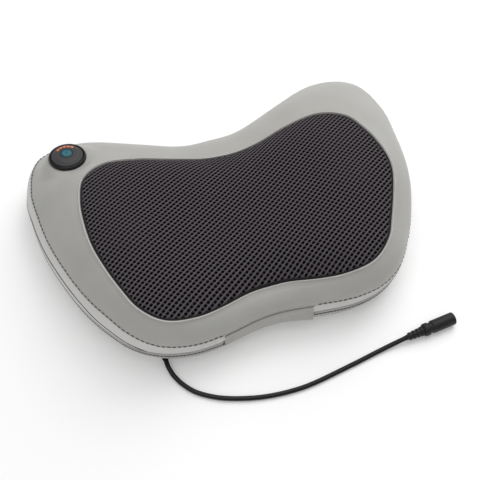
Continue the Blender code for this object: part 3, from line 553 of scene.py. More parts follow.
def lining_material():
    """Thin black knit with painted light: paler where a head pushes it up against the mesh."""
    mat = new_material("lining_knit", (0.012, 0.011, 0.012), 0.9, Specular_IOR_Level=0.1)
    place = coordinates(mat)
    half = calculate(mat, "ABSOLUTE", place, kind="VectorMath", output="Vector")
    away = calculate(mat, "DISTANCE", half, (BULGE_X, -BULGE_Y, BULGE_Z), kind="VectorMath")
    near = calculate(mat, "DIVIDE", away, BULGE_REACH * 1.6)
    # Painted light: the colour lifts towards the heads' spots, where the knit lies close under the
    # mesh, and stays near black elsewhere.
    set_input(mat, "Base_Color", ramp(mat, near, (0.05, 0.044, 0.049), (0.006, 0.0055, 0.006),
                                      0.15, 1.0))
    add_bump(mat, [(noise(mat, place, 1100.0), 0.4, 0.0002)])
    return mat


def moulded(name, colour, roughness, grain=0.00006, grain_scale=2200.0, **constants):
    """Moulded plastic or rubber with a spark-eroded grain and uneven gloss."""
    mat = new_material(name, colour, roughness, **constants)
    place = coordinates(mat)
    cloud = noise(mat, place, 90.0, 3.0)
    mottle(mat, cloud, colour, 0.08)
    low = max(roughness - 0.07, 0.05)
    set_input(mat, "Roughness", calculate(mat, "MULTIPLY_ADD", cloud, 0.14, low))
    add_bump(mat, [(noise(mat, place, grain_scale), 0.35, grain)])
    return mat


def machined(name, colour, roughness):
    """Metal with fine tool marks along one direction and light smudges."""
    mat = new_material(name, colour, roughness, 1.0)
    marks = noise(mat, coordinates(mat, scale=(40, 40, 4000)), 1.0, 3.0)
    mottle(mat, noise(mat, coordinates(mat), 160.0), colour, 0.07)
    set_input(mat, "Roughness", calculate(mat, "MULTIPLY_ADD", marks, 0.2, roughness - 0.1))
    add_bump(mat, [(marks, 0.15, 0.00004)])
    return mat


def foam_material():
    """Pale open-cell foam."""
    colour = (0.75, 0.74, 0.7)
    mat = new_material("foam_cells", colour, 0.95, Specular_IOR_Level=0.1)
    cells = node(mat, "TexVoronoi", Vector=coordinates(mat), Scale=900.0).outputs["Distance"]
    set_input(mat, "Base_Color", ramp(mat, cells, (0.5, 0.49, 0.45), colour, 0.05, 0.5))
    add_bump(mat, [(cells, 0.8, 0.0004)])
    return mat


def board_material():
    """Green solder mask with a hint of copper tracks under it."""
    mat = new_material("solder_mask", (0.02, 0.16, 0.06), 0.35)
    tracks = node(mat, "TexBrick", Vector=coordinates(mat), Scale=160.0,
                  Color1=(0.02, 0.17, 0.06, 1), Color2=(0.016, 0.13, 0.05, 1),
                  Mortar=(0.05, 0.26, 0.09, 1))
    set_input(mat, "Base_Color", tracks.outputs["Color"])
    add_bump(mat, [(tracks.outputs["Fac"], 0.3, 0.00005)])
    return mat


LEATHER = leather_material()
GUSSET_WEAVE = woven_material("gusset_weave", (0.66, 0.65, 0.635), 1.5, 0.24)
TAPE_WEAVE = woven_material("zip_tape_weave", (0.4, 0.395, 0.38), 0.8, 0.06)
BACK_WEAVE = woven_material("back_weave", (0.5, 0.49, 0.475), 1.1, 0.1)
WEBBING = woven_material("strap_webbing", (0.035, 0.034, 0.037), 1.6, 0.4)
BINDING = woven_material("black_binding", (0.012, 0.011, 0.012), 0.9, 0.3)
NET = net_material()
LINING = lining_material()
THREAD = moulded("grey_thread", (0.06, 0.058, 0.056), 0.7, 0.0001, 4000.0)
PALE_THREAD = moulded("pale_thread", (0.5, 0.49, 0.47), 0.7, 0.0001, 4000.0)
ZIP_COIL = moulded("zip_coil", (0.02, 0.02, 0.021), 0.45)
BLACK_ABS = moulded("black_abs", (0.028, 0.028, 0.03), 0.5)
RING_BLACK = moulded("button_ring_black", (0.006, 0.006, 0.007), 0.35, Specular_IOR_Level=0.3)
CAP_GREY = moulded("button_cap_grey", (0.052, 0.05, 0.053), 0.55, Specular_IOR_Level=0.3)
# A lighter grey than the leather: a painted highlight along the window's turned edge.
BEAD_HIGHLIGHT_PAINT = moulded("bead_painted_highlight", (0.48, 0.472, 0.447), 0.4, 0.00003)
LENS_BLUE = moulded("lens_blue", (0.03, 0.125, 0.165), 0.5, 0.00001, Specular_IOR_Level=0.2)
LENS_MARK = moulded("lens_mark", (0.1, 0.24, 0.28), 0.5, 0.00001)
PRINT_ORANGE = moulded("orange_print", (0.78, 0.2, 0.1), 0.55, 0.00001)
PVC = moulded("cord_pvc", (0.003, 0.003, 0.0032), 0.3, 0.00003, Specular_IOR_Level=0.3)
SOCKET_PVC = moulded("socket_pvc", (0.012, 0.0115, 0.0125), 0.5, 0.00005, Specular_IOR_Level=0.3)
ACETAL = moulded("acetal", (0.78, 0.77, 0.72), 0.4, 0.00003)
HEAD_SKIN = moulded("head_skin", (0.055, 0.053, 0.058), 0.42, 0.00003)
STEEL = machined("turned_steel", (0.6, 0.6, 0.62), 0.32)
BRASS = machined("turned_brass", (0.75, 0.55, 0.25), 0.3)
FOAM = foam_material()
BOARD = board_material()

# ---- cord and its socket

CORD_ROUTE = [(-89.5, -102.1, 5.4), (-89.3, -107, 5.1), (-88.2, -112, 3.9), (-86.2, -117.2, 2.4),
              (-81.5, -125.5, 2.05), (-73.3, -134.7, 2.05), (-58.8, -143.7, 2.05),
              (-41, -150.2, 2.05), (-21, -154.6, 2.05), (0, -156.2, 2.05), (19.4, -155.2, 2.05),
              (52.6, -150, 2.05), (72, -146.6, 2.15), (88, -144.2, 3.4), (102.8, -142.6, 5.7)]
CORD_RADIUS = 2 * MM
CORD_POINTS = 150
RELIEF_TOP = 15.5
RIBS = 4
RIB_PITCH = 3.6
RIB_RADIUS = 4.0
RIB_TAPER = 0.25
RIB_DEPTH = 1.0
GLAND_FRAME = (Matrix.Translation((-89.5 * MM, -100 * MM, 5.4 * MM))
               @ Matrix.Rotation(-math.pi / 2, 4, "X"))


def smooth_path(points_mm, count):
    """Evenly spaced points on the Catmull-Rom curve through the given ones."""
    keys = [np.array(p, dtype=float) * MM for p in points_mm]
    keys = [2 * keys[0] - keys[1]] + keys + [2 * keys[-1] - keys[-2]]
    dense = []
    for p0, p1, p2, p3 in zip(keys, keys[1:], keys[2:], keys[3:]):
        for t in np.linspace(0, 1, 24, endpoint=False):
            dense.append(0.5 * (2 * p1 + (p2 - p0) * t + (2 * p0 - 5 * p1 + 4 * p2 - p3) * t ** 2
                                + (3 * p1 - p0 - 3 * p2 + p3) * t ** 3))
    dense = np.array(dense + [keys[-2]])
    length = reach_along(dense)
    return point_at(np.linspace(0, length[-1], count), length, dense)


def make_cord():
    """The cord, its ribbed strain relief, the socket body and its pin."""
    path = smooth_path(CORD_ROUTE, CORD_POINTS)
    curve = bpy.data.curves.new("cord_jacket", "CURVE")
    curve.dimensions = "3D"
    curve.bevel_depth = CORD_RADIUS
    curve.bevel_resolution = 6
    curve.use_fill_caps = True
    spline = curve.splines.new("POLY")
    spline.points.add(len(path) - 1)
    for target, point in zip(spline.points, path):
        target.co = (*point, 1.0)
    spline.use_smooth = True
    cord = put(link("cord_jacket", curve, PVC), "black_rubber", "cord")

    end = Vector(path[-1])
    way = end - Vector(path[-4])
    way.z = 0
    way.normalize()
    up = Vector((0, 0, 1))
    place = frame_at(end, up.cross(way), up, way)
    ribs = []
    for i in range(RIBS):
        low = RELIEF_TOP - RIB_PITCH * i
        outer = RIB_RADIUS - RIB_TAPER * i
        neck = outer - RIB_DEPTH
        ribs += [(outer, low), (outer, low - 2.2), (neck, low - 2.3), (neck, low - 3.5)]
    relief = turned("strain_relief_ribbed", [(0, RELIEF_TOP)] + ribs[:-1] + [(2.2, 0.3), (0, 0.3)],
                    place, SOCKET_PVC, 0.35)
    body = turned("socket_moulding",
                  [(0, 35), (3.1, 35), (3.1, 44.9), (3.7, 45), (4.8, 45), (5.4, 44.4), (5.4, 24.5),
                   (4.5, 23.5), (4.5, 21.5), (5.4, 20.5), (5.4, 17.4), (4.4, 15.8), (0, 15.8)],
                  place, SOCKET_PVC, 0.4)
    pin = turned("socket_contact", [(0, 44), (0.7, 43.9), (1.05, 43.3), (1.05, 35.3), (0, 35.3)],
                 place, STEEL, 0.2, 32)
    put(relief, "black_rubber", "socket_strain_relief")
    put(body, "black_rubber", "socket_body")
    put(pin, "steel", "socket_pin")
    gland = turned("gland_collar", [(2.7, 5.5), (2.7, -0.6), (2.5, -1.4), (2.3, -1.8), (2.15, -1.8),
                                    (2.15, 5.5)], GLAND_FRAME, PVC, 0.15, 40, ring=True)
    put(gland, "black_rubber", "cord_gland")


make_cord()

# ---- grey face and its hem

# Plan angle in degrees, and the hem's height above the widest line in millimetres.
HEM_KNOTS = [(0, -1), (20, -3), (60, -4), (134, -4), (144, 4), (151, 9), (160, 12),
             (168, 13), (177, 15.2), (187, 15.6), (197, 16.2), (206, 17.5), (213, 14),
             (219, 9), (225, 5), (232, 3), (245, 3), (270, 5.5), (290, 4.5), (312, 3),
             (330, 2.5), (345, 1), (360, -1)]
HEM_OVERLAP = 2.5 * MM
SKIN = 1.1 * MM
BEAD = 1.1 * MM
BEAD_HIGHLIGHT_RADIUS = 0.42 * MM
HEM_LINE = 1.8 * MM
WINDOW_LINE = 3.5 * MM
DITCH = 0.3 * MM
FLAP_SPAN = (-42 * MM, 33 * MM)
FACE_ROWS = 26
HEM_ROWS = 6
FACE_LIFT = 0.3 * MM
PAD_LIMIT = 2 * MM
SIM_FRAMES = 20
CLOTH = {"quality": 5, "mass": 0.3, "tension_stiffness": 12, "compression_stiffness": 12,
         "bending_stiffness": 0.6, "use_pressure": True, "uniform_pressure_force": 4,
         "vertex_group_mass": "sewn"}


def hem_rise(theta):
    """Distance of the leather's lower edge above the widest line; it climbs round the -X side."""
    angles, rises = zip(*HEM_KNOTS)
    degrees = np.mod(np.degrees(theta), 360)
    turns = (-6, -3, 0, 3, 6)
    rise = sum(np.interp(np.mod(degrees + turn, 360), angles, rises) for turn in turns)
    return rise / len(turns) * MM


def inflate(rows):
    """Cloth under pressure between its two sewn borders; how far a point may move is capped."""
    count, width = rows.shape[:2]
    piece = skin("pad_cloth", rows, None)
    pins = piece.vertex_groups.new(name="sewn")
    sewn = list(range(2 * width)) + list(range((count - 2) * width, count * width))
    pins.add(sewn, 1.0, "REPLACE")
    cloth = piece.modifiers.new("cloth", "CLOTH")
    for setting, value in CLOTH.items():
        setattr(cloth.settings, setting, value)
    cloth.settings.effector_weights.gravity = 0
    cloth.collision_settings.use_collision = False
    cloth.point_cache.frame_end = SIM_FRAMES
    for number in range(1, SIM_FRAMES + 1):
        bpy.context.scene.frame_set(number)
    shown = piece.evaluated_get(bpy.context.evaluated_depsgraph_get())
    moved = np.array([v.co for v in shown.data.vertices], dtype=float).reshape(rows.shape)
    bpy.context.scene.frame_set(1)
    bpy.data.objects.remove(piece, do_unlink=True)
    shift = moved - rows
    size = np.linalg.norm(shift, axis=2, keepdims=True)
    return rows + shift * np.minimum(1.0, PAD_LIMIT / np.maximum(size, 1e-9))


def pucker(rows, normal, distance):
    """Small gathers beside the hem's stitches, fading up the face."""
    phase = around(RING)
    wave = 0.6 * np.sin(97 * phase) + 0.4 * np.sin(61 * phase + 1.3)
    fade = np.exp(-((distance - 4 * MM) / (3.5 * MM)) ** 2)
    return rows + normal * (0.16 * MM * wave[None, :] * fade)[:, :, None]


BUTTON_ANGLE = np.array(math.radians(141.2))
BUTTON_ALONG = 0.58
BUTTON_LEAN = (0.19, -0.275, 0.0)
BUTTON_RISE = 2.2 * MM


def button_frame():
    """Frame over the face at the button: Z is the face's normal, leaned inward, and X is level."""
    step = 0.001
    point, further, round_it = (face_points(BUTTON_ANGLE + turn, BUTTON_ALONG + move, even=True)
                                for turn, move in ((0, 0), (0, step), (step, 0)))
    up = Vector(np.cross(further - point, round_it - point))
    up = up if up.z > 0 else -up
    up = (up.normalized() + Vector(BUTTON_LEAN)).normalized()
    level = Vector((0, 0, 1)).cross(up).normalized()
    return frame_at(Vector(point) + up * BUTTON_RISE, level, up.cross(level), up)


BUTTON = button_frame()


HOLE_RADIUS = 14.9 * MM
HOLE_DEPTH = 24 * MM


def button_hole():
    """Cutter for the button's seat in the leather."""
    bm = bmesh.new()
    bmesh.ops.create_cone(bm, cap_ends=True, segments=64, radius1=HOLE_RADIUS,
                          radius2=HOLE_RADIUS, depth=HOLE_DEPTH)
    mesh = mesh_from(bm, "button_hole")
    mesh.transform(BUTTON)
    hole = link("button_hole", mesh)
    hole.hide_render = True
    return hole


def on_flap(point):
    """Whether a point of the hem lies over the flap, where the leather is folded, not sewn."""
    return point[1] < 0 and FLAP_SPAN[0] - 1 * MM < point[0] < FLAP_SPAN[1] + 1 * MM


SEAT_INNER = 15 * MM
SEAT_OUTER = 27 * MM
SEAT_SKEW = 3 * MM
SEAT_HEIGHT = 0.4 * MM
SEAT_REACH = 25 * MM


def seat_button(rows, to_edge):
    """Flatten the leather into the button's seat, with a longer slope on the outer side."""
    centre = np.array(BUTTON.translation)
    axis = np.array(BUTTON.col[2][:3])
    outward = -np.array(BUTTON.col[1][:3])
    away = rows - centre
    height = away @ axis
    flat = away - height[..., None] * axis
    radius = np.linalg.norm(flat, axis=-1)
    side = (flat @ outward) / np.maximum(radius, 1e-9)
    outer = SEAT_OUTER + SEAT_SKEW * side
    level = np.clip((outer - radius) / (outer - SEAT_INNER), 0, 1)
    near = np.clip((to_edge - 2 * MM) / (8 * MM), 0, 1)
    blend = level ** 2 * (3 - 2 * level) * (np.abs(height) < SEAT_REACH) * near
    return rows - ((height - SEAT_HEIGHT) * blend)[..., None] * axis


def make_face():
    """Leather frame: folded hem at the woven strip, padded face, turned bead at the window."""
    start = hem_rise(THETA)
    end = face_slant(THETA) - 1.1 * BEAD
    rows = np.array([cover_points(THETA, start + (end - start) * s, FACE_LIFT)
                     for s in np.linspace(0, 1, FACE_ROWS)])
    rows[:HEM_ROWS] = soften(rows[:HEM_ROWS], 2)
    rows = inflate(rows)
    normal = normals_of(rows)
    distance = reach_along(rows)
    rows = pucker(rows, normal, distance)
    to_edge = distance[-1][None, :] - distance
    ditch = (np.exp(-((to_edge - WINDOW_LINE) / (1.3 * MM)) ** 2)
             + 0.8 * np.exp(-((distance - HEM_LINE) / (1.0 * MM)) ** 2))
    rows = rows - normal * (DITCH * ditch)[:, :, None]
    rows = seat_button(rows, to_edge)
    normal = normals_of(rows)
    inward = unit(rows[-1] - rows[-2])
    top = normal[-1]
    bead = arc(rows[-1] - top * 0.55 * BEAD, top * BEAD, inward * BEAD,
               np.linspace(-0.35, 1.1, 9) * math.pi)
    inner = (rows - normal * SKIN)[::-1]
    outward = unit(rows[0] - rows[1]) * SKIN / 2
    raised = normal[0] * SKIN / 2
    fold = arc(rows[0] - raised, raised, outward, np.linspace(0.85, 0.15, 5) * math.pi)
    face = skin("leather_face", [*rows[:-1], *bead, *inner[1:], *fold], LEATHER, loop_rows=True)
    hole = button_hole()
    cut = face.modifiers.new("button_hole", "BOOLEAN")
    cut.operation = "DIFFERENCE"
    cut.solver = "EXACT"
    cut.object = hole
    bpy.context.view_layer.update()
    graph = bpy.context.evaluated_depsgraph_get()
    face.data = bpy.data.meshes.new_from_object(face.evaluated_get(graph))
    face.modifiers.clear()
    bpy.data.objects.remove(hole, do_unlink=True)
    put(face, "grey_pu", "front_cover")
    # A slim pale cord on the bead: a painted highlight along the window's turned edge.
    highlight_loop = arc(rows[-1] + (inward * 0.62 + top * 0.3) * BEAD, top * BEAD_HIGHLIGHT_RADIUS, inward * BEAD_HIGHLIGHT_RADIUS,
                 around(10))
    put(skin("window_bead_highlight", highlight_loop, BEAD_HIGHLIGHT_PAINT, loop_rows=True), "grey_pu")
    at = np.array([np.interp(HEM_LINE, distance[:, j], np.arange(FACE_ROWS)) for j in range(RING)])
    low = at.astype(int)
    part = (at - low)[:, None]
    columns = np.arange(RING)
    seam = rows[low, columns] * (1 - part) + rows[low + 1, columns] * part
    up = normal[low, columns]
    stitches("hem_stitches", seam + up * 0.2 * MM, up, THREAD, "grey_pu", (3.2, 1.0, 0.42),
             avoid=on_flap)


make_face()

# ---- woven strip, zip and back


GUSSET_BEND = 25.5 * MM
GUSSET_THICK = 1.0 * MM
GUSSET_CROWN = 0.5 * MM


def make_gusset():
    """Woven strip from the zip up over the widest line to the leather's hem."""
    overlap = hem_rise(THETA) + HEM_OVERLAP
    outer = [side_points(THETA, z * MM) for z in (18.9, 20, 21.5, 23, 24.5)]
    low = GUSSET_BEND - seam_level(THETA)
    outer += [cover_points(THETA, low + (overlap - low) * s, -0.7 * MM * s)
              for s in np.linspace(0, 1, 12)]
    outer = soften(outer, 8)
    normal = normals_of(outer)
    crown = np.sin(np.linspace(0, math.pi, len(outer)))[:, None, None]
    outer = outer + normal * (GUSSET_CROWN * crown)
    inner = (outer - normal * GUSSET_THICK)[::-1]
    strip = skin("woven_gusset", np.concatenate([outer, inner]), GUSSET_WEAVE, loop_rows=True)
    put(strip, "grey_fabric", "side_gusset")
    front, back = (outer[:5] + normal[:5] * lift * MM for lift in (0.35, 0.05))
    tape = skin("zip_tape", np.concatenate([front, back[::-1]]), TAPE_WEAVE, loop_rows=True)
    put(tape, "grey_fabric")
    line = outer[4] * 0.4 + outer[3] * 0.6 + normal[3] * 0.35 * MM
    stitches("tape_stitches", line, normal[3], PALE_THREAD, "grey_fabric", (2.2, 1.0, 0.28))
    return outer, normal


# Plan angle in degrees, and height above the widest line in millimetres.
FLANK_SEAM = [(142, -11), (150, -5), (158, -0.5), (166, 1), (174, 2.4), (184, 2.6), (190, 2),
              (197, 0), (205, -1), (212, -4), (219, -10.5)]
FLANK_WELT = (0.7 * MM, 0.35 * MM)


def make_flank_seam(gusset, normal):
    """Dark sewn line in the gusset that climbs from the zip to the widest line on the -X side."""
    angles, rises = zip(*FLANK_SEAM)
    degrees = np.degrees(THETA)
    columns = np.where((degrees >= angles[0]) & (degrees <= angles[-1]))[0]
    distance = np.interp(degrees[columns], angles, rises) * MM
    heights = cover_points(THETA[columns], distance)[:, 2]
    middle = np.array([[np.interp(z, gusset[:, n, 2], gusset[:, n, k]) for k in range(3)]
                       for z, n in zip(heights, columns)])
    out = np.array([normal[np.searchsorted(gusset[:, n, 2], z), n]
                    for z, n in zip(heights, columns)])
    up = unit(np.cross(np.gradient(middle, axis=0), out))
    tall, deep = FLANK_WELT
    ring = arc(middle, up * tall, out * deep, around(8))
    welt = skin("gusset_flank_seam", np.transpose(ring, (1, 0, 2)), ZIP_COIL, hubs=True)
    put(welt, "grey_fabric")


TOOTH_PITCH = 1.5 * MM
TOOTH_WIDE = 0.9 * MM
TOOTH_TALL = 1.2 * MM
TOOTH_SHIFT = 0.35 * MM


def make_zip():
    """Coil zip: a dark band with interleaved teeth."""
    heights = (15.9, 16.6, 17.3, 18.0, 18.7)
    bulge = (0.0, 0.35, 0.45, 0.35, 0.0)
    outer = [side_points(THETA, z * MM, (b - 0.3) * MM) for z, b in zip(heights, bulge)]
    inner = [side_points(THETA, z * MM, -1.6 * MM) for z in reversed(heights)]
    band = skin("zip_band", outer + inner, BINDING, loop_rows=True)
    put(band, "black_webbing", "zip_chain")
    middle = side_points(THETA, heights[2] * MM, 0.15 * MM)
    path = np.vstack([middle, middle[:1]])
    reach = reach_along(path)
    count = int(reach[-1] / TOOTH_PITCH)
    up = np.array((0, 0, 1.0))
    points = []
    faces = []
    for n in range(count):
        at = n * reach[-1] / count
        centre = point_at(at, reach, path)
        way = unit(point_at(at + 0.6 * MM, reach, path) - centre)
        out = np.cross(way, up)
        centre += up * (TOOTH_SHIFT if n % 2 else -TOOTH_SHIFT)
        faces += loft_faces(len(points), 3, 4)
        for depth, size in ((-0.3, 1.0), (0.2, 1.0), (0.5, 0.6)):
            for a, b in ((-1, -1), (1, -1), (1, 1), (-1, 1)):
                points.append(centre + out * depth * MM
                              + (way * a * TOOTH_WIDE + up * b * TOOTH_TALL) / 2 * size)
    put(link("zip_teeth", mesh_of("zip_teeth", points, faces, 30), ZIP_COIL), "black_webbing")


BACK_RIM = 9 * MM
BACK_PANEL_Z = 1.6 * MM
BACK_THICK = 1.5 * MM
# Heights of the side's rows, outside and inside, in millimetres.
BACK_LEVELS = [(15.7, 15.7), (14, 14), (12, 12), (9.5, 9.5), (7, 7), (5, 5), (3.2, 3.6),
               (1.8, 2.8), (0.8, 2.4)]


def make_back():
    """Rear cover: side, rounded floor edge, flat rim, and a panel inset for the strap."""
    floor = seam_radius(THETA) - FLOOR_INSET
    sides = len(BACK_LEVELS)
    outer = [side_points(THETA, z * MM) for z, _ in BACK_LEVELS]
    outer += [plan_points(THETA, floor - 0.6 * MM, 0.25 * MM),
              plan_points(THETA, floor - 1.8 * MM, 0.0),
              plan_points(THETA, floor - BACK_RIM + 1 * MM, 0.0),
              plan_points(THETA, floor - BACK_RIM, 0.3 * MM),
              plan_points(THETA, floor - BACK_RIM - 1 * MM, BACK_PANEL_Z)]
    for share in (0.85, 0.65, 0.45, 0.25, 0.1):
        ripple = 0.12 * MM * np.sin(9 * THETA + 7 * share)
        outer.append(plan_points(THETA, (floor - BACK_RIM) * share, BACK_PANEL_Z + ripple))
    outer = np.array(outer)
    inner = outer.copy()
    inner[:sides] = [side_points(THETA, z * MM, -BACK_THICK) for _, z in BACK_LEVELS]
    inner[sides:, :, 2] = BACK_PANEL_Z + 0.9 * MM
    inner[sides:sides + 3, :, :2] = outer[sides + 2, :, :2]
    back = skin("back_fabric", np.concatenate([inner[::-1], outer]), BACK_WEAVE, hubs=True)
    put(back, "grey_fabric", "back_cover")
    ring = plan_points(THETA, floor - BACK_RIM + 2.6 * MM, 0.35 * MM)
    down = np.tile((0.0, 0.0, -1.0), (RING, 1))
    stitches("back_seam_stitches", ring, down, PALE_THREAD, "grey_fabric", (2.8, 1.2, 0.3))


STRAP_HALF = 128 * MM
STRAP_WIDTH = 40 * MM
STRAP_THICK = 1.3 * MM
STRAP_RIB = 0.12 * MM
STRAP_RIBS = 14
TACK_ENDS = (24 * MM, 4 * MM)
TACK_HALF = 16 * MM


def make_strap():
    """Ribbed elastic strap, sewn down with a box and cross at each end."""
    xs = np.linspace(-STRAP_HALF, STRAP_HALF, 61)
    ys = np.linspace(-STRAP_WIDTH / 2, STRAP_WIDTH / 2, 121)
    rib = STRAP_RIB * (1 + np.cos(TAU * STRAP_RIBS * (ys / STRAP_WIDTH)))
    rows = []
    for x in xs:
        lower = np.stack([np.full_like(ys, x), ys + PLAN_Y, rib + 0.02 * MM], axis=-1)
        upper = np.stack([np.full_like(ys, x), ys + PLAN_Y, STRAP_THICK - rib], axis=-1)[::-1]
        rows.append(np.concatenate([lower, upper]))
    strap = skin("elastic_strap", rows, WEBBING, hubs=True, smooth_angle=50)
    put(strap, "black_webbing", "back_strap")
    for name, side in (("left", -1), ("right", 1)):
        near, far = (side * (STRAP_HALF - end) for end in TACK_ENDS)
        low, high = PLAN_Y - TACK_HALF, PLAN_Y + TACK_HALF
        route = [(near, low), (far, low), (far, high), (near, high), (near, low), (far, high),
                 (far, low), (near, high)]
        path = []
        for (ax, ay), (bx, by) in zip(route, route[1:]):
            path += [(ax + (bx - ax) * t, ay + (by - ay) * t, 0.3 * MM)
                     for t in np.linspace(0, 1, 14, endpoint=False)]
        down = np.tile((0.0, 0.0, -1.0), (len(path), 1))
        stitches(f"strap_tack_{name}", path, down, PALE_THREAD, "black_webbing",
                 (2.6, 1.0, 0.25), closed=False)


FLAP_TOP = 28.5 * MM
FLAP_LOW = (13 * MM, 17 * MM)
FLAP_FLARE = 3.6 * MM
FLAP_THICK = 1.0 * MM
FOLD_CORD_RADIUS = 0.3 * MM


def make_flap():
    """Leather tab that comes from under the hem in the -Y waist, its right end standing out."""
    columns = 61
    waist = np.linspace(math.pi * 1.25, math.pi * 1.75, 801)
    across = seam_radius(waist) * np.cos(waist)
    theta = np.interp(np.linspace(*FLAP_SPAN, columns), across, waist)
    share = np.linspace(0, 1, columns)
    hem = hem_rise(theta)
    outer = [cover_points(theta, hem + extra * MM, -1.2 * MM) for extra in (3, 1.5, 0.3)]
    outer += [cover_points(theta, hem * s, 0.0) for s in (0.75, 0.5, 0.25, 0.05)]
    low = np.interp(share, (0, 0.5), FLAP_LOW)
    for s in np.linspace(0, 1, 10):
        outer.append([side_points(t, h)
                      for t, h in zip(theta, FLAP_TOP + (low - FLAP_TOP) * s)])
    outer = soften(outer, 2)
    step = np.arange(len(outer))[:, None]
    rise = np.clip((step - 2) / 3, 0, 1)
    fall = np.clip((SEAM_Z - outer[:, :, 2]) / (SEAM_Z - low[None, :]), 0, 1)
    belly = 0.5 * MM * np.sin(math.pi * fall) * np.sin(math.pi * share * 2.2)[None, :]
    out = 0.7 * MM * rise + fall * FLAP_FLARE * share[None, :] ** 3 + belly
    outer[:, :, 1] -= out
    inner = outer[::-1].copy()
    inner[:, :, 1] += FLAP_THICK
    grid = np.concatenate([outer, inner])
    flap = skin("leather_flap", np.transpose(grid, (1, 0, 2)), LEATHER, hubs=True,
                smooth_angle=50)
    put(flap, "grey_pu", "bottom_flap")
    # A thin dark cord tucked under the hem's edge draws a dark line along the fold.
    welt = [cover_points(theta, hem - 0.5 * MM + FOLD_CORD_RADIUS * math.sin(a),
                         0.75 * MM + FOLD_CORD_RADIUS * math.cos(a)) for a in around(8)]
    edge = skin("flap_fold_cord", np.transpose(welt, (1, 0, 2)), THREAD, hubs=True)
    put(edge, "grey_pu")
    notch = []
    for x in np.linspace(FLAP_SPAN[0] - 1.5 * MM, FLAP_SPAN[0] + 0.3 * MM, 4):
        at = np.interp(x, across, waist)
        line = [side_points(at, z * MM, 0.75 * MM) for z in np.linspace(25, 15, 6)]
        notch.append(line + [p + np.array((0, 1.2 * MM, 0)) for p in line[::-1]])
    gap = skin("flap_zip_end", notch, BINDING, hubs=True)
    put(gap, "black_webbing")


GUSSET, GUSSET_NORMAL = make_gusset()
make_flank_seam(GUSSET, GUSSET_NORMAL)
make_zip()
make_back()
make_strap()
make_flap()

# ---- mesh window

NET_WIDE = 5.35 * MM
NET_HIGH = 3.98 * MM
NET_TURN = math.radians(-4)
HOLE_LONG = 0.37
HOLE_SHORT = 0.255
NET_INSET = 1.7 * MM
NET_TUCK = 3.5 * MM
NET_REACH = 60
NET_BACK = 1.6
# Half steps from a hole's centre to its rim's points, and those points' heights in millimetres.
RIM = ((1, 1), (1, 0), (1, -1), (0, -1), (-1, -1), (-1, 0), (-1, 1), (0, 1))
RIM_HEIGHTS = (0.12, -0.4, 0.12, 0.32, 0.12, -0.4, 0.12, 0.32)
HOLE_ANGLES = [math.pi / 4 * (1 - k) for k in range(8)]
# Share of the way from the rim to the hole's edge, and depth in millimetres, of each ring.
HOLE_RINGS = ((0.5, 0.15), (0.88, 0.5), (1.0, 0.95), (0.9, 1.3))


def panel_lift(x, y):
    """Extra height where the two outer heads push the mesh up."""
    lift = np.zeros_like(x)
    for side in (-1, 1):
        away = ((x - side * BULGE_X) ** 2 + (y - BULGE_Y) ** 2) / BULGE_REACH ** 2
        lift = lift + BULGE_LIFT * np.exp(-away)
    return lift


def on_panel(x, y, depth):
    """Lift plan points onto the crowned panel; beyond its edge they turn down into the bead."""
    theta = np.arctan2(y - PLAN_Y, x)
    radius = np.hypot(x, y - PLAN_Y)
    edge = window_radius(theta) - NET_INSET
    beyond = np.maximum(radius - edge, 0)
    radius = np.minimum(radius, edge)
    share = radius / window_radius(theta)
    x = radius * np.cos(theta)
    y = PLAN_Y + radius * np.sin(theta)
    z = window_height(x) + PANEL_CROWN * (1 - share ** 4) + panel_lift(x, y) - depth - beyond
    return np.stack([x, y, z], axis=-1)


def make_net():
    """Open air mesh: staggered oval holes between rounded yarns, the rising yarns on top."""
    cos, sin = math.cos(NET_TURN), math.sin(NET_TURN)
    step_a, step_b = (np.array([[cos, -sin], [sin, cos]]) @ np.array((NET_WIDE, high)) / 2
                      for high in (NET_HIGH, -NET_HIGH))
    origin = np.array((0.0, PLAN_Y))
    index = {}
    flat = []
    depth = []
    faces = []
    used = {}

    def vertex(place, down):
        flat.append(place)
        depth.append(down)
        return len(flat) - 1

    for i, j in product(range(-NET_REACH, NET_REACH), repeat=2):
        centre = origin + i * step_a + j * step_b
        east, north = centre - origin
        edge = window_radius(np.arctan2(north, east)) - NET_INSET
        if math.hypot(east, north) > edge + NET_TUCK / 2:
            continue
        rim = []
        for (a, b), height in zip(RIM, RIM_HEIGHTS):
            key = (2 * i + a, 2 * j + b)
            place = origin + key[0] * step_a / 2 + key[1] * step_b / 2
            if key not in index:
                index[key] = (vertex(place, -height), vertex(place, NET_BACK))
            rim.append((place, *index[key]))
        hole = arc(centre, step_a * HOLE_LONG, step_b * HOLE_SHORT, HOLE_ANGLES)
        rings = [[top for _, top, _ in rim]]
        for share, down in HOLE_RINGS:
            rings.append([vertex(place * (1 - share) + inner * share, down)
                          for (place, _, _), inner in zip(rim, hole)])
        rings.append([low for _, _, low in rim])
        for upper, lower in zip(rings, rings[1:]):
            faces += zip(upper, upper[1:] + upper[:1], lower[1:] + lower[:1], lower)
        for pair in zip(rim, rim[1:] + rim[:1]):
            used.setdefault(frozenset((pair[0][1], pair[1][1])), []).append(pair)
    for pairs in used.values():
        if len(pairs) == 1:
            (_, top_a, low_a), (_, top_b, low_b) = pairs[0]
            faces.append((top_a, top_b, low_b, low_a))
    flat = np.array(flat)
    points = on_panel(flat[:, 0], flat[:, 1], (np.array(depth) + 0.3) * MM)
    mesh = mesh_of("air_mesh_net", points, faces, 80)
    # Depth of each point below the crest, which the yarn material turns into painted highlight and
    # painted shade.
    drop = mesh.attributes.new("drop", "FLOAT", "POINT")
    drop.data.foreach_set("value", depth)
    net = link("air_mesh_net", mesh, NET)
    put(net, "black_mesh", "mesh_panel")


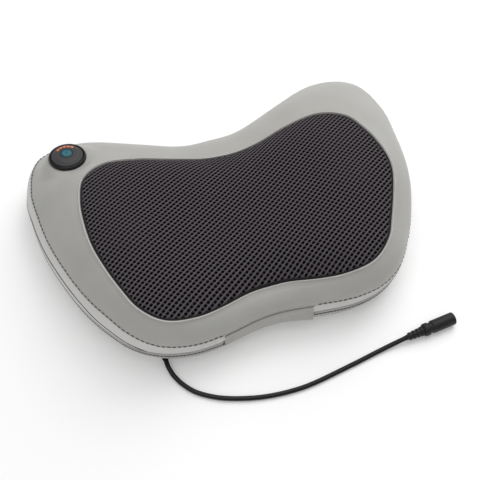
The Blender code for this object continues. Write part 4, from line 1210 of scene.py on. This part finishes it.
def ring_rows(shares, depth):
    """Panel points on rings from near the centre to the edge."""
    theta = even_angles(WINDOW, 160)
    radius = window_radius(theta) - 1.5 * MM
    return [on_panel(radius * s * np.cos(theta), PLAN_Y + radius * s * np.sin(theta), depth)
            for s in shares]


LINING_DEPTH = 2.6 * MM
LINING_THICK = 0.7 * MM


def make_lining():
    """Thin black knit under the mesh."""
    shares = np.linspace(0.04, 1.0, 26)
    upper = ring_rows(shares, LINING_DEPTH)
    lower = ring_rows(shares[::-1], LINING_DEPTH + LINING_THICK)
    lining = skin("lining_sheet", np.concatenate([upper, lower]), LINING, hubs=True)
    put(lining, "black_lining", "inner_lining")


def make_binding():
    """Black tape between the bead and the mesh."""
    theta = even_angles(WINDOW, RING)
    radius = window_radius(theta)
    rows = []
    for inset, depth in ((-0.6, 1.6), (0.2, 0.9), (1.0, 0.7), (1.7, 0.8), (2.3, 1.6), (0.3, 3.0)):
        around = radius - inset * MM
        share = np.minimum(around / radius, 1)
        z = window_height(around * np.cos(theta)) + PANEL_CROWN * (1 - share ** 4) - depth * MM
        rows.append(plan_points(theta, around, z))
    tape = skin("window_binding", rows, BINDING, loop_rows=True)
    put(tape, "black_mesh")


make_net()
make_lining()
make_binding()

# ---- button

CAP_PROFILE = [(0, 6.0), (5, 5.95), (9, 5.6), (10.8, 5.0), (11.3, 4.4), (11.7, 4.55),
               (12.7, 4.0), (13.3, 3.0), (13.3, 0.6), (2.5, 0.6), (2.5, -3), (0, -3)]


def cap_height(radius):
    """Height of the button cap's dome at a radius, in millimetres."""
    top = CAP_PROFILE[:7]
    return float(np.interp(radius, [r for r, _ in top], [z for _, z in top]))


MARK_STEPS = 24


def arc_mark(name, radius, width, start, end, height, mat, slot):
    """A printed arc on the button, standing a hair above the surface."""
    rows = []
    for k in range(MARK_STEPS):
        a = math.radians(start + (end - start) * k / (MARK_STEPS - 1))
        row = []
        for side, lift in ((-1, 0.0), (-1, 0.1), (1, 0.1), (1, 0.0)):
            r = radius + side * width / 2
            z = height(r) + lift
            row.append(BUTTON @ (Vector((r * math.cos(a), r * math.sin(a), z)) * MM))
        rows.append(row)
    put(skin(name, rows, mat, hubs=True, smooth_angle=30), slot, body="button")


def make_button():
    """Black ring, grey cap with a grooved edge, blue lens with a power mark, printed dashes."""
    base = turned("button_bezel",
                  [(0, -9.5), (10.8, -9.5), (10.8, -1.5), (13.7, -1.5), (13.7, 3.1), (14.1, 3.5),
                   (14.7, 3.4), (15.4, 2.7), (15.8, 1.7), (15.8, 0.6), (14.6, 0.5), (14.6, -2.8),
                   (12.5, -2.8), (12.5, -11), (0, -11)], BUTTON, RING_BLACK, 0.35, 96)
    put(base, "button_ring", "button_base")
    cap = turned("button_dome", CAP_PROFILE, BUTTON, CAP_GREY, 0.25, 96)
    put(cap, "button_grey", "button_cap", body="button")
    rim = turned("lens_rim", [(4.6, 5.0), (4.6, 6.2), (4.9, 6.3), (5.2, 6.2), (5.4, 5.0)], BUTTON,
                 RING_BLACK, 0.15, 64, ring=True)
    put(rim, "button_grey", body="button")
    lens = turned("button_window", [(0, 6.45), (3.6, 6.35), (4.6, 6.1), (4.6, 5.0), (0, 5.0)],
                  BUTTON, LENS_BLUE, 0.3, 64)
    put(lens, "blue_lens", "button_lens", body="button")
    arc_mark("power_mark_ring", 2.3, 0.5, 305, 595, lambda r: 6.42, LENS_MARK, "blue_lens")
    for n in range(5):
        low = 236 + 21 * n
        arc_mark(f"printed_dash_{n + 1}", 8.9, 1.9, low, low + 16.5, cap_height, PRINT_ORANGE,
                 "button_grey")


make_button()

# ---- mechanism and small metal


HEAD_TILT = math.radians(13)
HEAD_PIVOT = (0, -20 * MM, 18.5 * MM)
HEAD_REACH = (("inner", 23.5 * MM), ("outer", 97.5 * MM))
HEAD_PROFILE = [(0, 34.5), (6.4, 33.3), (11.4, 30), (14.6, 25.6), (15.4, 22.4), (14.9, 21.9),
                (15.2, 21.2), (14.0, 18.6), (12.3, 17), (3.0, 17), (3.0, 28), (0, 28)]


def make_heads():
    """Kneading heads with a soft ridge round the shoulder."""
    for side, sign in (("left", -1), ("right", 1)):
        origin = Matrix.Translation(HEAD_PIVOT) @ Matrix.Rotation(-sign * HEAD_TILT, 4, "Y")
        for place, reach in HEAD_REACH:
            spot = origin @ Matrix.Translation((sign * reach, 0, 0))
            head = turned(f"kneading_head_{side}_{place}", HEAD_PROFILE, spot, HEAD_SKIN, 1.2, 64)
            put(head, "head_plastic", f"massage_head_{side}_{place}", body=f"head_{side}_{place}")


make_heads()

SLOT_MATERIALS = {
    "abs_plastic": BLACK_ABS, "gear_plastic": ACETAL, "steel": STEEL, "brass": BRASS,
    "head_plastic": HEAD_SKIN, "foam": FOAM, "pcb_green": BOARD, "black_rubber": PVC,
    "grey_pu": LEATHER, "black_mesh": NET, "black_lining": LINING, "grey_fabric": BACK_WEAVE,
    "black_webbing": WEBBING, "button_ring": RING_BLACK, "button_grey": CAP_GREY,
    "blue_lens": LENS_BLUE,
}


def finish_nodes():
    """Give each CAD node that stays the material of its slot."""
    slots = {row["node"]: row["material_slot"] for row in frame["record"]["subparts"]}
    for name, obj in frame["nodes"].items():
        mat = SLOT_MATERIALS[slots[name]]
        if not obj.material_slots:
            obj.data.materials.append(mat)
        for place in obj.material_slots:
            place.material = mat


finish_nodes()

# ---- floor and light


def make_stage():
    """Pale floor, an even white world and three soft round lights."""
    bm = bmesh.new()
    bmesh.ops.create_grid(bm, x_segments=1, y_segments=1, size=6.0)
    mat = new_material("pale_floor", (0.93, 0.93, 0.93), 0.9, Specular_IOR_Level=0.1,
                       Emission_Strength=0.12)
    floor = link("floor", mesh_from(bm, "floor"), mat)
    world = bpy.data.worlds.new("studio")
    world.use_nodes = True
    background = world.node_tree.nodes["Background"]
    background.inputs["Color"].default_value = (1.0, 1.0, 1.0, 1.0)
    background.inputs["Strength"].default_value = 0.4
    bpy.context.scene.world = world
    middle = Vector((0, 0, 0.04))
    for name, place, size, watts in (("key", (0.85, 0.75, 1.2), 1.3, 11),
                                     ("fill", (-0.8, -0.7, 1.3), 1.2, 2.5),
                                     ("top", (0.1, 0.2, 1.6), 1.4, 9)):
        data = bpy.data.lights.new(name, "AREA")
        data.shape = "DISK"
        data.size = size
        data.energy = watts
        lamp = bpy.data.objects.new(name, data)
        lamp.location = place
        lamp.rotation_euler = (middle - Vector(place)).to_track_quat("-Z", "Y").to_euler()
        bpy.context.scene.collection.objects.link(lamp)


make_stage()
